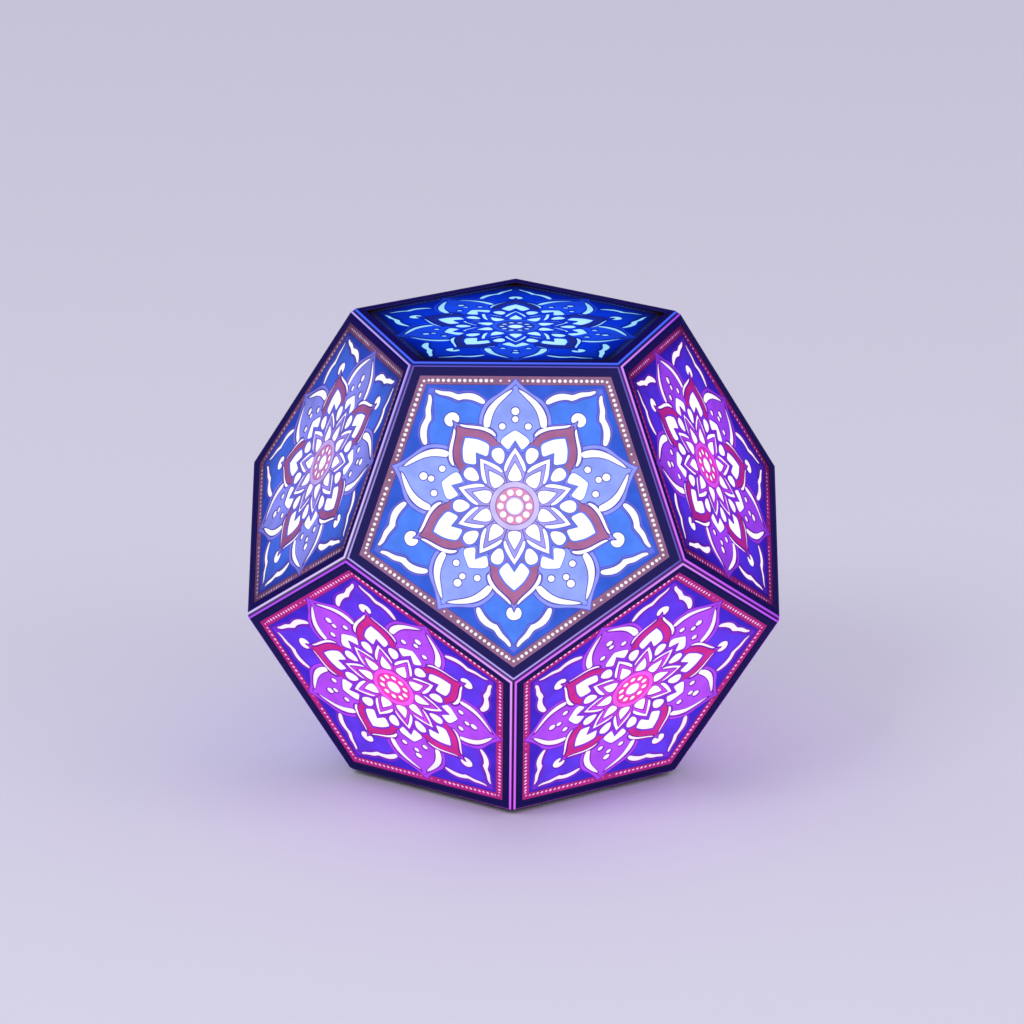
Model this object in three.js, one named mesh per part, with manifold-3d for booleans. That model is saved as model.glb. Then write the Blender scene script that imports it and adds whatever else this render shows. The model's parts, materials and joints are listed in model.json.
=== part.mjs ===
// A lantern in the shape of a regular dodecahedron, standing on one of its faces on five rubber feet.
// Eleven faces each hold a pierced card and an opal diffuser behind a bezel that clips onto an inner
// frame. The twelfth face is the base tray with the electronics and a recessed well for the controls.
//
// Each face has its own frame: x to the right, y towards the middle of its flat edge, z outwards, with
// z = 0 on the ideal face. Places on a face are given as an inset from the ideal edge, or a distance
// from the face's middle, and as a depth below the ideal face.

import * as THREE from "three";
import { ConvexGeometry } from "three/addons/geometries/ConvexGeometry.js";
import { mergeVertices } from "three/addons/utils/BufferGeometryUtils.js";
import Module from "manifold-3d";

const wasm = await Module();
wasm.setup();

// Whole lantern, in millimetres
const ACROSS_FLATS = 150;
const FOOT_PROUD = 1.2;
const CLEARANCE = 0.3; // between neighbouring pieces
const OVERRUN = 2; // how far a cut runs past the wall that it cuts

// Bezel section
const BEAD_RADIUS = 0.75;
const BEAD_INSET = 1.52;
const RIM_DEPTH = 0.2;
const LIP_REACH = 4.1;
const LIP_THICKNESS = 0.5;
const LIP_CHAMFER = 0.2;
const WALL_INSET = 2.7;
const LUG_WIDTH = 3;
const LUG_THICKNESS = 0.6;
const LUG_REACH = 1.65; // past the bezel's wall, into the frame
const LUG_ROOT = 0.6; // how far a lug runs up into the bezel's wall
const LUG_ALONG = 8; // from the middle of the side, so that two neighbours miss each other

// Card panel and diffuser
const CARD_THICKNESS = 0.4;
const DIFFUSER_THICKNESS = 1.25;
const MOTIF_MARGIN = 5.55; // from the ideal edge to the tips of the rosette

// Inner frame
const CAGE_WALL = 2.5;
const WINDOW_INSET = 4.1;
const PEG_SIZE = 1.2;
const PEG_REACH = 2.2;
const BOSS_RADIUS = 3;
const BOSS_HEIGHT = 6;
const TUB_OPENING_GAP = 1;

// Base tray
const TUB_GAP = 0.68; // from the tub's wall to the largest piece inside it
const TUB_WALL = 1.8;
const WELL_DEPTH = 8;
const WELL_WALL = 1.6;
const WELL_MARGIN = 2.5; // from the outermost control to the well's end
const WELL_SIDE_GAP = 3.75; // from the rocker's flange to the well's side
const CONTROL_GAP = 2.1; // from the rocker's flange to the button's flange
const SOCKET_GAP = 3; // from the rocker's flange to the charging socket
const BOARD_RISE = 6.7; // from the well's inner floor to the driver board
const PILLAR_RADIUS = 2;
const PILLAR_INSET = 3.5; // from the driver board's edges
const RIB_THICKNESS = 1.6;

// Base screws and feet
const SCREW_GAP = 3.5; // from the frame's opening round the tub to a screw's boss
const SCREW_RADIUS = 1.15;
const SCREW_LENGTH = 8;
const SCREW_HEAD_RADIUS = 2.4;
const SCREW_HEAD_HEIGHT = 1.4;
const SCREW_SLOT_WIDTH = 0.7;
const SCREW_SLOT_DEPTH = 0.6;
const FOOT_GAP = 3.1; // from a screw's head to the foot beyond it
const FOOT_RADIUS = 4.5;
const FOOT_RECESS = 0.8;

// Driver board, battery and lead
const BOARD_MARGIN = 1; // from the well's end to the driver board's
const BOARD_WIDTH = 34;
const BOARD_THICKNESS = 1.6;
const CHIP_LENGTH = 8;
const CHIP_HEIGHT = 0.9;
const CHIP_X = 14;
const BATTERY_LENGTH = 48;
const BATTERY_WIDTH = 24;
const BATTERY_HEIGHT = 8;
const BATTERY_CORNER = 2;
const BATTERY_RISE = 3.1; // from the driver board's far side to the battery
const TUB_HEADROOM = 1.7; // from the battery to the tub's rim
const LEAD_RADIUS = 0.65;
const LEAD_BEND = 2;

// Light post, LED belts and top LED board
const LID_THICKNESS = 2;
const SPIGOT_HEIGHT = 1.5;
const SPIGOT_WALL = 1.6;
const POST_RADIUS = 9;
const POST_WALL = 1.6;
const POST_TOP = 97; // above the ideal base face
const LOWER_BELT_Z = 50;
const UPPER_BELT_DROP = 11; // from the post's top
const BELT_HEIGHT = 9;
const BELT_THICKNESS = 0.6;
const LED_SIZE = 5;
const LED_HEIGHT = 1.6;
const LED_BOARD_RADIUS = 8.2;
const LED_BOARD_THICKNESS = 1.2;

// Mode button, its spring and its switch
const BUTTON_RADIUS = 4.2;
const BUTTON_PROUD = 2.4;
const BUTTON_FLANGE_STEP = 1.2;
const BUTTON_FLANGE_HEIGHT = 0.8;
const BUTTON_STEM_RADIUS = 1.5;
const BUTTON_TRAVEL = 1.2;
const BUTTON_DISH_RADIUS = 3;
const BUTTON_DISH_DEPTH = 0.4;
const STEM_LENGTH = 1;
const TACT_SIZE = 5.6;
const SPRING_GAP = 0.4; // from the push switch's corners
const SPRING_WIRE_RADIUS = 0.25;
const SPRING_TURNS = 4;

// Power rocker and its switch body
const ROCKER_FLANGE_STEP = 1;
const ROCKER_FLANGE_HEIGHT = 1.2;
const ROCKER_BODY_LENGTH = 13;
const ROCKER_BODY_WIDTH = 8.5;
const ROCKER_BODY_DEPTH = 10.2; // behind the well's outer floor
const ROCKER_END_WALL = 1.2;
const ROCKER_SIDE_WALL = 0.95;
const ROCKER_CAVITY_FLOOR = 1.6;
const ROCKER_CREST = 3.6; // from the pivot to the rocker's raised ends
const ROCKER_DIP = 2.9; // from the pivot to the middle of its dished face
const ROCKER_SHOULDER = 1.2;
const ROCKER_KEEL = 1.6;
const ROCKER_KEEL_HALF = 2.2;
const ROCKER_PIVOT_BELOW_FLANGE = 2.9;
const ROCKER_TILT_DEG = 10;
const PIVOT_RADIUS = 0.8;
const PIVOT_REACH = 0.7; // into each side wall of the switch body

// Charging socket
const SOCKET_LENGTH = 9;
const SOCKET_HEIGHT = 3.3;
const SOCKET_WALL = 0.35;
const SOCKET_BACK = 1.2;
const TONGUE_END_GAP = 0.8;
const TONGUE_THICKNESS = 0.7;
const TONGUE_REACH = 4.6;

// Rules of the regular dodecahedron
const GOLDEN = (1 + Math.sqrt(5)) / 2;
const SIDES = 5;
const STEP = (2 * Math.PI) / SIDES;
const HALF_STEP = STEP / 2;
const QUARTER = Math.PI / 2;
const RING_TILT = Math.atan(1 / 2);
const INRADIUS = ACROSS_FLATS / 2;
const APOTHEM = INRADIUS / GOLDEN;
const CORNER_RADIUS = APOTHEM / Math.cos(HALF_STEP);
const MITRE_TAN = 1 / GOLDEN; // inset of the mitre plane for each unit of depth
const MITRE_SHIFT = CLEARANCE / 2 / Math.cos(Math.atan(MITRE_TAN));

// Depths of the layers below the ideal face
const LIP_BACK = RIM_DEPTH + LIP_THICKNESS;
const CARD_FRONT = LIP_BACK + CLEARANCE;
const DIFFUSER_FRONT = CARD_FRONT + CARD_THICKNESS + CLEARANCE;
const WALL_BACK = DIFFUSER_FRONT + DIFFUSER_THICKNESS;
const CAGE_FRONT = WALL_BACK + CLEARANCE;
const SHEET_INSET = WALL_INSET + CLEARANCE;

// Controls in the well, from its middle, and what is sized to hold them
const ROCKER_FLANGE_LENGTH = ROCKER_BODY_LENGTH + 2 * ROCKER_FLANGE_STEP;
const ROCKER_FLANGE_WIDTH = ROCKER_BODY_WIDTH + 2 * ROCKER_FLANGE_STEP;
const ROCKER_CAVITY_LENGTH = ROCKER_BODY_LENGTH - 2 * ROCKER_END_WALL;
const ROCKER_CAVITY_WIDTH = ROCKER_BODY_WIDTH - 2 * ROCKER_SIDE_WALL;
const ROCKER_TILT = THREE.MathUtils.degToRad(ROCKER_TILT_DEG);
const ROCKER_HALF_LENGTH =
  (ROCKER_CAVITY_LENGTH / 2 - CLEARANCE - ROCKER_CREST * Math.sin(ROCKER_TILT)) / Math.cos(ROCKER_TILT);
const BUTTON_FLANGE_RADIUS = BUTTON_RADIUS + BUTTON_FLANGE_STEP;
const BUTTON_X = -(ROCKER_FLANGE_LENGTH / 2 + CONTROL_GAP + BUTTON_FLANGE_RADIUS);
const SPRING_RADIUS = TACT_SIZE / Math.SQRT2 + SPRING_GAP + SPRING_WIRE_RADIUS;
const SOCKET_X = ROCKER_FLANGE_LENGTH / 2 + SOCKET_GAP + SOCKET_LENGTH / 2;
const WELL_HALF_LENGTH = Math.max(SOCKET_X + SOCKET_LENGTH / 2, BUTTON_RADIUS - BUTTON_X) + WELL_MARGIN;
const WELL_HALF_WIDTH = ROCKER_FLANGE_WIDTH / 2 + WELL_SIDE_GAP;
const BOARD_LENGTH = 2 * (WELL_HALF_LENGTH - BOARD_MARGIN);
const TUB_INNER_RADIUS = TUB_GAP + Math.max(
  Math.hypot(BATTERY_LENGTH / 2, BATTERY_WIDTH / 2),
  Math.hypot(BOARD_LENGTH / 2, BOARD_WIDTH / 2),
  Math.hypot(WELL_HALF_LENGTH + WELL_WALL, WELL_HALF_WIDTH + WELL_WALL),
);
const TUB_RADIUS = TUB_INNER_RADIUS + TUB_WALL;
const SCREW_CIRCLE = TUB_RADIUS + TUB_OPENING_GAP + SCREW_GAP + BOSS_RADIUS;
const FOOT_CIRCLE = SCREW_CIRCLE + SCREW_HEAD_RADIUS + FOOT_GAP + FOOT_RADIUS;

// Depths inside the base, measured up from the ideal base face
const WELL_FLOOR_BACK = WELL_DEPTH + WELL_WALL;
const BOARD_DEPTH = WELL_FLOOR_BACK + BOARD_RISE;
const BOARD_BACK = BOARD_DEPTH + BOARD_THICKNESS;
const BATTERY_DEPTH = BOARD_BACK + BATTERY_RISE;
const BATTERY_BACK = BATTERY_DEPTH + BATTERY_HEIGHT;
const TUB_RIM = BATTERY_BACK + TUB_HEADROOM;
const LID_DEPTH = TUB_RIM + CLEARANCE;
const LID_BACK = LID_DEPTH + LID_THICKNESS;
const ROCKER_FLANGE_FRONT = WELL_DEPTH - CLEARANCE - ROCKER_FLANGE_HEIGHT;
const ROCKER_PIVOT_DEPTH = ROCKER_FLANGE_FRONT + ROCKER_PIVOT_BELOW_FLANGE;
const BUTTON_FLANGE_FRONT = WELL_FLOOR_BACK + CLEARANCE;
const BUTTON_FLANGE_BACK = BUTTON_FLANGE_FRONT + BUTTON_FLANGE_HEIGHT;
const TACT_FRONT = BUTTON_FLANGE_BACK + STEM_LENGTH + BUTTON_TRAVEL + CLEARANCE;
const UPPER_BELT_Z = POST_TOP - UPPER_BELT_DROP;

// Fineness of round shapes, in sides
const ROUND = 20;
const SMALL_ROUND = 10;
const CORNER_STEPS = 2;
const BEAD_STEPS = 4;
const SPRING_STEPS_PER_TURN = 8;
const WIRE_SIDES = 5;
const LEAD_SIDES = 6;
const LEAD_STEPS = 24;

// Motif of the cards. Each hole is a list of [sideways, outwards] points along a ray from the middle,
// as shares of the rosette's radius.
const CENTRE_HOLE_SHARE = 0.054;
const PETAL_SHARES = [[0, 0.21], [0.075, 0.31], [0, 0.455], [-0.075, 0.31]];
const HEART_SHARES = [[0, 0.506], [0.063, 0.472], [0.115, 0.535], [0, 0.655], [-0.115, 0.535], [-0.063, 0.472]];
const CRESCENT_SHARES = [[0.031, 0.93], [0.144, 0.69], [0.226, 0.641], [0.2, 0.795]];
const CORNER_SLOT_SHARES = [[0.055, 1.095], [0.118, 0.923], [0.295, 0.812], [0.15, 0.958]];

/** A shape as a closed mesh whose shared vertices are merged. */
function merged(geometry) {
  const bare = geometry.index ? geometry.toNonIndexed() : geometry.clone();
  bare.deleteAttribute("normal");
  bare.deleteAttribute("uv");
  return mergeVertices(bare);
}

/** A solid that can be joined and cut. */
function solid(geometry) {
  const { attributes, index } = merged(geometry);
  return new wasm.Manifold(new wasm.Mesh({
    numProp: 3,
    vertProperties: new Float32Array(attributes.position.array),
    triVerts: new Uint32Array(index.array),
  }));
}

/** The mesh of a solid. */
function shapeOf(body) {
  const { vertProperties, triVerts } = body.getMesh();
  const geometry = new THREE.BufferGeometry();
  geometry.setAttribute("position", new THREE.BufferAttribute(vertProperties, 3));
  geometry.setIndex(new THREE.BufferAttribute(triVerts, 1));
  return geometry;
}

/** The first shape with others joined on and others cut away. */
function built(first, joined = [], cut = []) {
  let body = solid(first);
  for (const piece of joined) {
    body = body.add(solid(piece));
  }
  for (const piece of cut) {
    body = body.subtract(solid(piece));
  }
  return shapeOf(body);
}

/**
 * A solid turned about the face's axis. The section is [radius, depth] points, and a ring repeats its
 * first point.
 */
function turned(section, sides = ROUND) {
  const points = section.map(([radius, depth]) => new THREE.Vector2(radius, -depth));
  return new THREE.LatheGeometry(points, sides).rotateX(QUARTER);
}

/** A five-sided solid or ring. The section is [inset, depth] points from the ideal edge. */
function pentagonal(section) {
  return turned(section.map(([inset, depth]) => [(APOTHEM - inset) / Math.cos(HALF_STEP), depth]), SIDES);
}

/** A round post between two depths. */
function post(radius, from, to, x = 0, y = 0, sides = SMALL_ROUND) {
  return turned([[0, to], [radius, to], [radius, from], [0, from]], sides).translate(x, y, 0);
}

/** A round tube between two depths. */
function tube(outer, inner, from, to, sides = ROUND) {
  return turned([[outer, to], [outer, from], [inner, from], [inner, to], [outer, to]], sides);
}

/** A block between two depths. */
function block(length, width, from, to, x = 0, y = 0) {
  return new THREE.BoxGeometry(length, width, to - from).translate(x, y, -(from + to) / 2);
}

/** A block with rounded corners between two depths. */
function roundedBlock(length, width, corner, from, to, x = 0, y = 0) {
  const shape = new THREE.Shape();
  const right = length / 2 - corner;
  const top = width / 2 - corner;
  shape.absarc(right, top, corner, 0, QUARTER);
  shape.absarc(-right, top, corner, QUARTER, 2 * QUARTER);
  shape.absarc(-right, -top, corner, 2 * QUARTER, 3 * QUARTER);
  shape.absarc(right, -top, corner, 3 * QUARTER, 4 * QUARTER);
  const extent = { depth: to - from, bevelEnabled: false, curveSegments: CORNER_STEPS };
  return new THREE.ExtrudeGeometry(shape, extent).translate(x, y, -to);
}

/** A block on one side of a face, between two insets and two depths. */
function sideBlock(side, insets, depths, along, width) {
  const [outer, inner] = insets;
  const [front, back] = depths;
  return new THREE.BoxGeometry(inner - outer, width, back - front)
    .translate(APOTHEM - (outer + inner) / 2, along, -(front + back) / 2)
    .rotateZ(QUARTER + side * STEP);
}

/** Points of a face at a radius, one towards each corner. */
function cornerPlaces(radius) {
  return Array.from({ length: SIDES }, (_, corner) => {
    const angle = QUARTER + HALF_STEP + corner * STEP;
    return [radius * Math.cos(angle), radius * Math.sin(angle)];
  });
}

/** The frame of the face whose outward normal has this azimuth and elevation, flat edge up or down. */
function faceFrame(azimuth, elevation, edgeUp) {
  const out = new THREE.Vector3(
    Math.sin(azimuth) * Math.cos(elevation),
    -Math.cos(azimuth) * Math.cos(elevation),
    Math.sin(elevation),
  );
  const up = new THREE.Vector3(
    -Math.sin(azimuth) * Math.sin(elevation),
    Math.cos(azimuth) * Math.sin(elevation),
    Math.cos(elevation),
  );
  if (!edgeUp) {
    up.negate();
  }
  const across = new THREE.Vector3().crossVectors(up, out);
  return new THREE.Matrix4().makeBasis(across, up, out).setPosition(out.clone().multiplyScalar(INRADIUS));
}

// The faces, counted anticlockwise seen from above, from the one that looks along -Y
const LIT_FACES = [{ name: "top", frame: faceFrame(0, QUARTER, false) }];
for (let k = 0; k < SIDES; k += 1) {
  LIT_FACES.push({ name: `upper_${k + 1}`, frame: faceFrame(k * STEP, RING_TILT, true) });
}
for (let k = 0; k < SIDES; k += 1) {
  LIT_FACES.push({ name: `lower_${k + 1}`, frame: faceFrame(k * STEP + HALF_STEP, -RING_TILT, false) });
}
const BASE_FRAME = faceFrame(0, -QUARTER, false);

const LEVEL_RADIUS = CORNER_RADIUS * GOLDEN;
const LEVEL_HEIGHT = INRADIUS / GOLDEN ** 3;

/** A corner of the dodecahedron about its middle. */
function corner(radius, azimuth, height) {
  return new THREE.Vector3(radius * Math.sin(azimuth), -radius * Math.cos(azimuth), height);
}

/** A solid dodecahedron whose faces lie this deep below the ideal ones. */
function dodecahedron(depth) {
  const points = [];
  for (let k = 0; k < SIDES; k += 1) {
    points.push(corner(CORNER_RADIUS, k * STEP + HALF_STEP, INRADIUS));
    points.push(corner(LEVEL_RADIUS, k * STEP + HALF_STEP, LEVEL_HEIGHT));
    points.push(corner(LEVEL_RADIUS, k * STEP, -LEVEL_HEIGHT));
    points.push(corner(CORNER_RADIUS, k * STEP, -INRADIUS));
  }
  const share = (INRADIUS - depth) / INRADIUS;
  return new ConvexGeometry(points.map((point) => point.multiplyScalar(share)));
}

/**
 * The rim that a bezel and the base tray share: mitred wall, round bead and front, as [inset, depth]
 * points.
 */
function rimSection() {
  const points = [[WALL_BACK * MITRE_TAN + MITRE_SHIFT, WALL_BACK]];
  const bead = BEAD_RADIUS;
  const last = Math.asin((bead - RIM_DEPTH) / bead);
  for (let step = 0; step <= BEAD_STEPS; step += 1) {
    const angle = Math.PI - (step / BEAD_STEPS) * (Math.PI - last);
    points.push([BEAD_INSET + bead * Math.cos(angle), bead - bead * Math.sin(angle)]);
  }
  return points;
}

/** The five clip lugs of a bezel, each grown by a clearance when it serves as a cutter. */
function lugs(grown = 0) {
  const insets = [WALL_INSET - LUG_THICKNESS - grown, WALL_INSET + grown];
  const depths = [WALL_BACK - LUG_ROOT, WALL_BACK + LUG_REACH + grown];
  return Array.from({ length: SIDES }, (_, side) =>
    sideBlock(side, insets, depths, LUG_ALONG, LUG_WIDTH + 2 * grown));
}

function bezelShape() {
  const rim = rimSection();
  return built(pentagonal([
    ...rim,
    [LIP_REACH - LIP_CHAMFER, RIM_DEPTH],
    [LIP_REACH, RIM_DEPTH + LIP_CHAMFER],
    [LIP_REACH, LIP_BACK],
    [WALL_INSET, LIP_BACK],
    [WALL_INSET, WALL_BACK],
    rim[0],
  ]), lugs());
}

/** A five-sided outline with its corners this far inside the ideal edge. */
function pentagonOutline(inset) {
  const radius = (APOTHEM - inset) / Math.cos(HALF_STEP);
  return new THREE.Shape(cornerPlaces(radius).map(([x, y]) => new THREE.Vector2(x, y)));
}

/** One hole of the motif along a ray, mirrored sideways if asked. */
function motifHole(shares, angle, mirrored = false) {
  const radius = APOTHEM - MOTIF_MARGIN;
  const side = mirrored ? -1 : 1;
  const points = shares.map(([sideways, outwards]) => new THREE.Vector2(
    radius * (outwards * Math.cos(angle) - side * sideways * Math.sin(angle)),
    radius * (outwards * Math.sin(angle) + side * sideways * Math.cos(angle)),
  ));
  return new THREE.Path(mirrored ? points.reverse() : points);
}

function cardShape() {
  const shape = pentagonOutline(SHEET_INSET);
  const centre = Array.from({ length: SIDES }, (_, k) =>
    [CENTRE_HOLE_SHARE * Math.sin(k * STEP), CENTRE_HOLE_SHARE * Math.cos(k * STEP)]);
  shape.holes.push(motifHole(centre, QUARTER));
  for (let k = 0; k < SIDES; k += 1) {
    const towardsSide = QUARTER + k * STEP;
    const towardsCorner = towardsSide + HALF_STEP;
    shape.holes.push(motifHole(PETAL_SHARES, towardsSide));
    shape.holes.push(motifHole(PETAL_SHARES, towardsCorner));
    shape.holes.push(motifHole(HEART_SHARES, towardsCorner));
    for (const mirrored of [false, true]) {
      shape.holes.push(motifHole(CRESCENT_SHARES, towardsSide, mirrored));
      shape.holes.push(motifHole(CORNER_SLOT_SHARES, towardsCorner, mirrored));
    }
  }
  return new THREE.ExtrudeGeometry(shape, { depth: CARD_THICKNESS, bevelEnabled: false })
    .translate(0, 0, -(CARD_FRONT + CARD_THICKNESS));
}

function diffuserShape() {
  const extent = { depth: DIFFUSER_THICKNESS, bevelEnabled: false };
  return new THREE.ExtrudeGeometry(pentagonOutline(SHEET_INSET), extent).translate(0, 0, -WALL_BACK);
}

/** The whole inner frame about the lantern's middle, before it is parted into its two halves. */
function cage() {
  let body = solid(dodecahedron(CAGE_FRONT)).subtract(solid(dodecahedron(CAGE_FRONT + CAGE_WALL)));
  const window = pentagonal([
    [APOTHEM, CAGE_FRONT + CAGE_WALL + OVERRUN],
    [WINDOW_INSET, CAGE_FRONT + CAGE_WALL + OVERRUN],
    [WINDOW_INSET, CAGE_FRONT - OVERRUN],
    [APOTHEM, CAGE_FRONT - OVERRUN],
  ]);
  const cutters = [window, ...lugs(CLEARANCE)].map(solid);
  for (const { frame } of LIT_FACES) {
    for (const cutter of cutters) {
      body = body.subtract(cutter.transform(frame.elements));
    }
  }
  const flangeBack = CAGE_FRONT + CAGE_WALL;
  for (const [x, y] of cornerPlaces(SCREW_CIRCLE)) {
    const boss = post(BOSS_RADIUS, flangeBack - CAGE_WALL / 2, flangeBack + BOSS_HEIGHT, x, y);
    body = body.add(solid(boss.applyMatrix4(BASE_FRAME)));
  }
  for (const [x, y] of cornerPlaces(SCREW_CIRCLE)) {
    const hole = post(SCREW_RADIUS + CLEARANCE, CAGE_FRONT - OVERRUN, flangeBack + BOSS_HEIGHT + OVERRUN, x, y);
    body = body.subtract(solid(hole.applyMatrix4(BASE_FRAME)));
  }
  const opening = post(TUB_RADIUS + TUB_OPENING_GAP, CAGE_FRONT - OVERRUN, flangeBack + OVERRUN, 0, 0, ROUND);
  return body.subtract(solid(opening.applyMatrix4(BASE_FRAME)));
}

/** The pegs that line up the halves, one in each of the ten struts that cross the parting plane. */
function pegs(grown = 0) {
  const share = (INRADIUS - CAGE_FRONT - CAGE_WALL / 2) / INRADIUS;
  const size = PEG_SIZE + 2 * grown;
  const made = [];
  for (let k = 0; k < SIDES; k += 1) {
    const high = corner(LEVEL_RADIUS, k * STEP + HALF_STEP, LEVEL_HEIGHT);
    for (const azimuth of [k * STEP, (k + 1) * STEP]) {
      const low = corner(LEVEL_RADIUS, azimuth, -LEVEL_HEIGHT);
      const along = high.clone().sub(low).normalize();
      const middle = high.clone().add(low).multiplyScalar(1 / 2);
      const out = middle.clone().normalize();
      const across = new THREE.Vector3().crossVectors(out, along);
      const frame = new THREE.Matrix4().makeBasis(along, across, out).setPosition(middle.multiplyScalar(share));
      made.push(new THREE.BoxGeometry(2 * (PEG_REACH + grown), size, size).applyMatrix4(frame));
    }
  }
  return made;
}

function cageHalves() {
  const whole = cage();
  const above = new THREE.BoxGeometry(2 * ACROSS_FLATS, 2 * ACROSS_FLATS, ACROSS_FLATS);
  const lift = (ACROSS_FLATS + CLEARANCE) / 2;
  let upper = whole.intersect(solid(above.clone().translate(0, 0, lift)));
  let lower = whole.intersect(solid(above.clone().translate(0, 0, -lift)));
  for (const peg of pegs()) {
    upper = upper.add(solid(peg));
  }
  for (const socket of pegs(CLEARANCE)) {
    lower = lower.subtract(solid(socket));
  }
  return { upper: shapeOf(upper), lower: shapeOf(lower) };
}

function baseTrayShape() {
  const rim = rimSection();
  const plate = pentagonal([[APOTHEM, WALL_BACK], ...rim, [APOTHEM, RIM_DEPTH]]);
  const plateMiddle = (RIM_DEPTH + WALL_BACK) / 2;
  const tub = tube(TUB_RADIUS, TUB_INNER_RADIUS, plateMiddle, TUB_RIM);
  const wellCorner = 2 * WELL_WALL;
  const wellOuter = roundedBlock(2 * (WELL_HALF_LENGTH + WELL_WALL), 2 * (WELL_HALF_WIDTH + WELL_WALL),
    wellCorner, plateMiddle, WELL_FLOOR_BACK);
  const ribX = (BOARD_LENGTH + RIB_THICKNESS) / 2 + CLEARANCE;
  const ribs = [ribX, -ribX].map((x) =>
    block(RIB_THICKNESS, BATTERY_WIDTH - BATTERY_CORNER, plateMiddle, BATTERY_DEPTH - CLEARANCE, x));
  const pillarX = BOARD_LENGTH / 2 - PILLAR_INSET;
  const pillarY = BOARD_WIDTH / 2 - PILLAR_INSET;
  const pillars = [];
  for (const x of [pillarX, -pillarX]) {
    for (const y of [pillarY, -pillarY]) {
      pillars.push(post(PILLAR_RADIUS, plateMiddle, BOARD_DEPTH - CLEARANCE, x, y));
    }
  }
  const well = roundedBlock(2 * WELL_HALF_LENGTH, 2 * WELL_HALF_WIDTH,
    wellCorner - WELL_WALL, -OVERRUN, WELL_DEPTH);
  const floorEnds = [WELL_DEPTH - OVERRUN, WELL_FLOOR_BACK + OVERRUN];
  const cuts = [
    well,
    post(BUTTON_RADIUS + CLEARANCE, ...floorEnds, BUTTON_X, 0, ROUND),
    block(ROCKER_BODY_LENGTH + 2 * CLEARANCE, ROCKER_BODY_WIDTH + 2 * CLEARANCE, ...floorEnds),
    roundedBlock(SOCKET_LENGTH + 2 * CLEARANCE, SOCKET_HEIGHT + 2 * CLEARANCE,
      SOCKET_HEIGHT / 2, ...floorEnds, SOCKET_X),
  ];
  for (const [x, y] of cornerPlaces(SCREW_CIRCLE)) {
    cuts.push(turned([
      [0, WALL_BACK + OVERRUN],
      [SCREW_RADIUS + CLEARANCE, WALL_BACK + OVERRUN],
      [SCREW_RADIUS + CLEARANCE, RIM_DEPTH + SCREW_HEAD_HEIGHT + CLEARANCE],
      [SCREW_HEAD_RADIUS + CLEARANCE, RIM_DEPTH + CLEARANCE],
      [SCREW_HEAD_RADIUS + CLEARANCE, -OVERRUN],
      [0, -OVERRUN],
    ], SMALL_ROUND).translate(x, y, 0));
  }
  for (const [x, y] of cornerPlaces(FOOT_CIRCLE)) {
    cuts.push(post(FOOT_RADIUS + CLEARANCE, -OVERRUN, RIM_DEPTH + FOOT_RECESS, x, y, ROUND));
  }
  return built(plate, [tub, wellOuter, ...ribs, ...pillars], cuts);
}

/** A countersunk base screw at the middle of the base, its slotted head outwards. */
function screwShape() {
  const head = RIM_DEPTH + CLEARANCE;
  const body = turned([
    [0, head + SCREW_LENGTH],
    [SCREW_RADIUS, head + SCREW_LENGTH],
    [SCREW_RADIUS, head + SCREW_HEAD_HEIGHT],
    [SCREW_HEAD_RADIUS, head],
    [0, head],
  ], SMALL_ROUND);
  const slot = block(2 * SCREW_HEAD_RADIUS + OVERRUN, SCREW_SLOT_WIDTH,
    head - OVERRUN, head + SCREW_SLOT_DEPTH);
  return built(body, [], [slot]);
}

function footShape() {
  return post(FOOT_RADIUS, -FOOT_PROUD, RIM_DEPTH + FOOT_RECESS - CLEARANCE, 0, 0, ROUND);
}

function driverBoardShape() {
  const board = roundedBlock(BOARD_LENGTH, BOARD_WIDTH, PILLAR_RADIUS, BOARD_DEPTH, BOARD_BACK);
  const boardMiddle = (BOARD_DEPTH + BOARD_BACK) / 2;
  const chips = [CHIP_X, -CHIP_X].map((x) =>
    block(CHIP_LENGTH, CHIP_LENGTH, boardMiddle, BOARD_BACK + CHIP_HEIGHT, x));
  const opening = block(ROCKER_BODY_LENGTH + 2 * CLEARANCE, ROCKER_BODY_WIDTH + 2 * CLEARANCE,
    BOARD_DEPTH - OVERRUN, BOARD_BACK + OVERRUN);
  return built(board, chips, [opening]);
}

function batteryShape() {
  return roundedBlock(BATTERY_LENGTH, BATTERY_WIDTH, BATTERY_CORNER, BATTERY_DEPTH, BATTERY_BACK);
}

/** The lid of the tub with the hollow post that carries the LED belts, open below. */
function lightPostShape() {
  const inner = POST_RADIUS - POST_WALL;
  const lidMiddle = (LID_DEPTH + LID_BACK) / 2;
  const lid = post(TUB_RADIUS, LID_DEPTH, LID_BACK, 0, 0, ROUND);
  const spigotOuter = TUB_INNER_RADIUS - CLEARANCE;
  const spigot = tube(spigotOuter, spigotOuter - SPIGOT_WALL, LID_DEPTH - SPIGOT_HEIGHT, lidMiddle);
  const shaft = post(POST_RADIUS, lidMiddle, POST_TOP, 0, 0, ROUND);
  const bore = post(inner, LID_DEPTH - OVERRUN, POST_TOP - POST_WALL, 0, 0, ROUND);
  return built(lid, [spigot, shaft], [bore]);
}

/** A flexible LED belt round the post, with one LED towards each face of a ring. */
function beltShape(height, firstAngle) {
  const inner = POST_RADIUS + CLEARANCE;
  const outer = inner + BELT_THICKNESS;
  const belt = tube(outer, inner, height - BELT_HEIGHT / 2, height + BELT_HEIGHT / 2);
  const leds = Array.from({ length: SIDES }, (_, k) =>
    block(LED_HEIGHT + BELT_THICKNESS / 2, LED_SIZE, height - LED_SIZE / 2, height + LED_SIZE / 2,
      outer + (LED_HEIGHT - BELT_THICKNESS / 2) / 2).rotateZ(firstAngle + k * STEP));
  return built(belt, leds);
}

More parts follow.
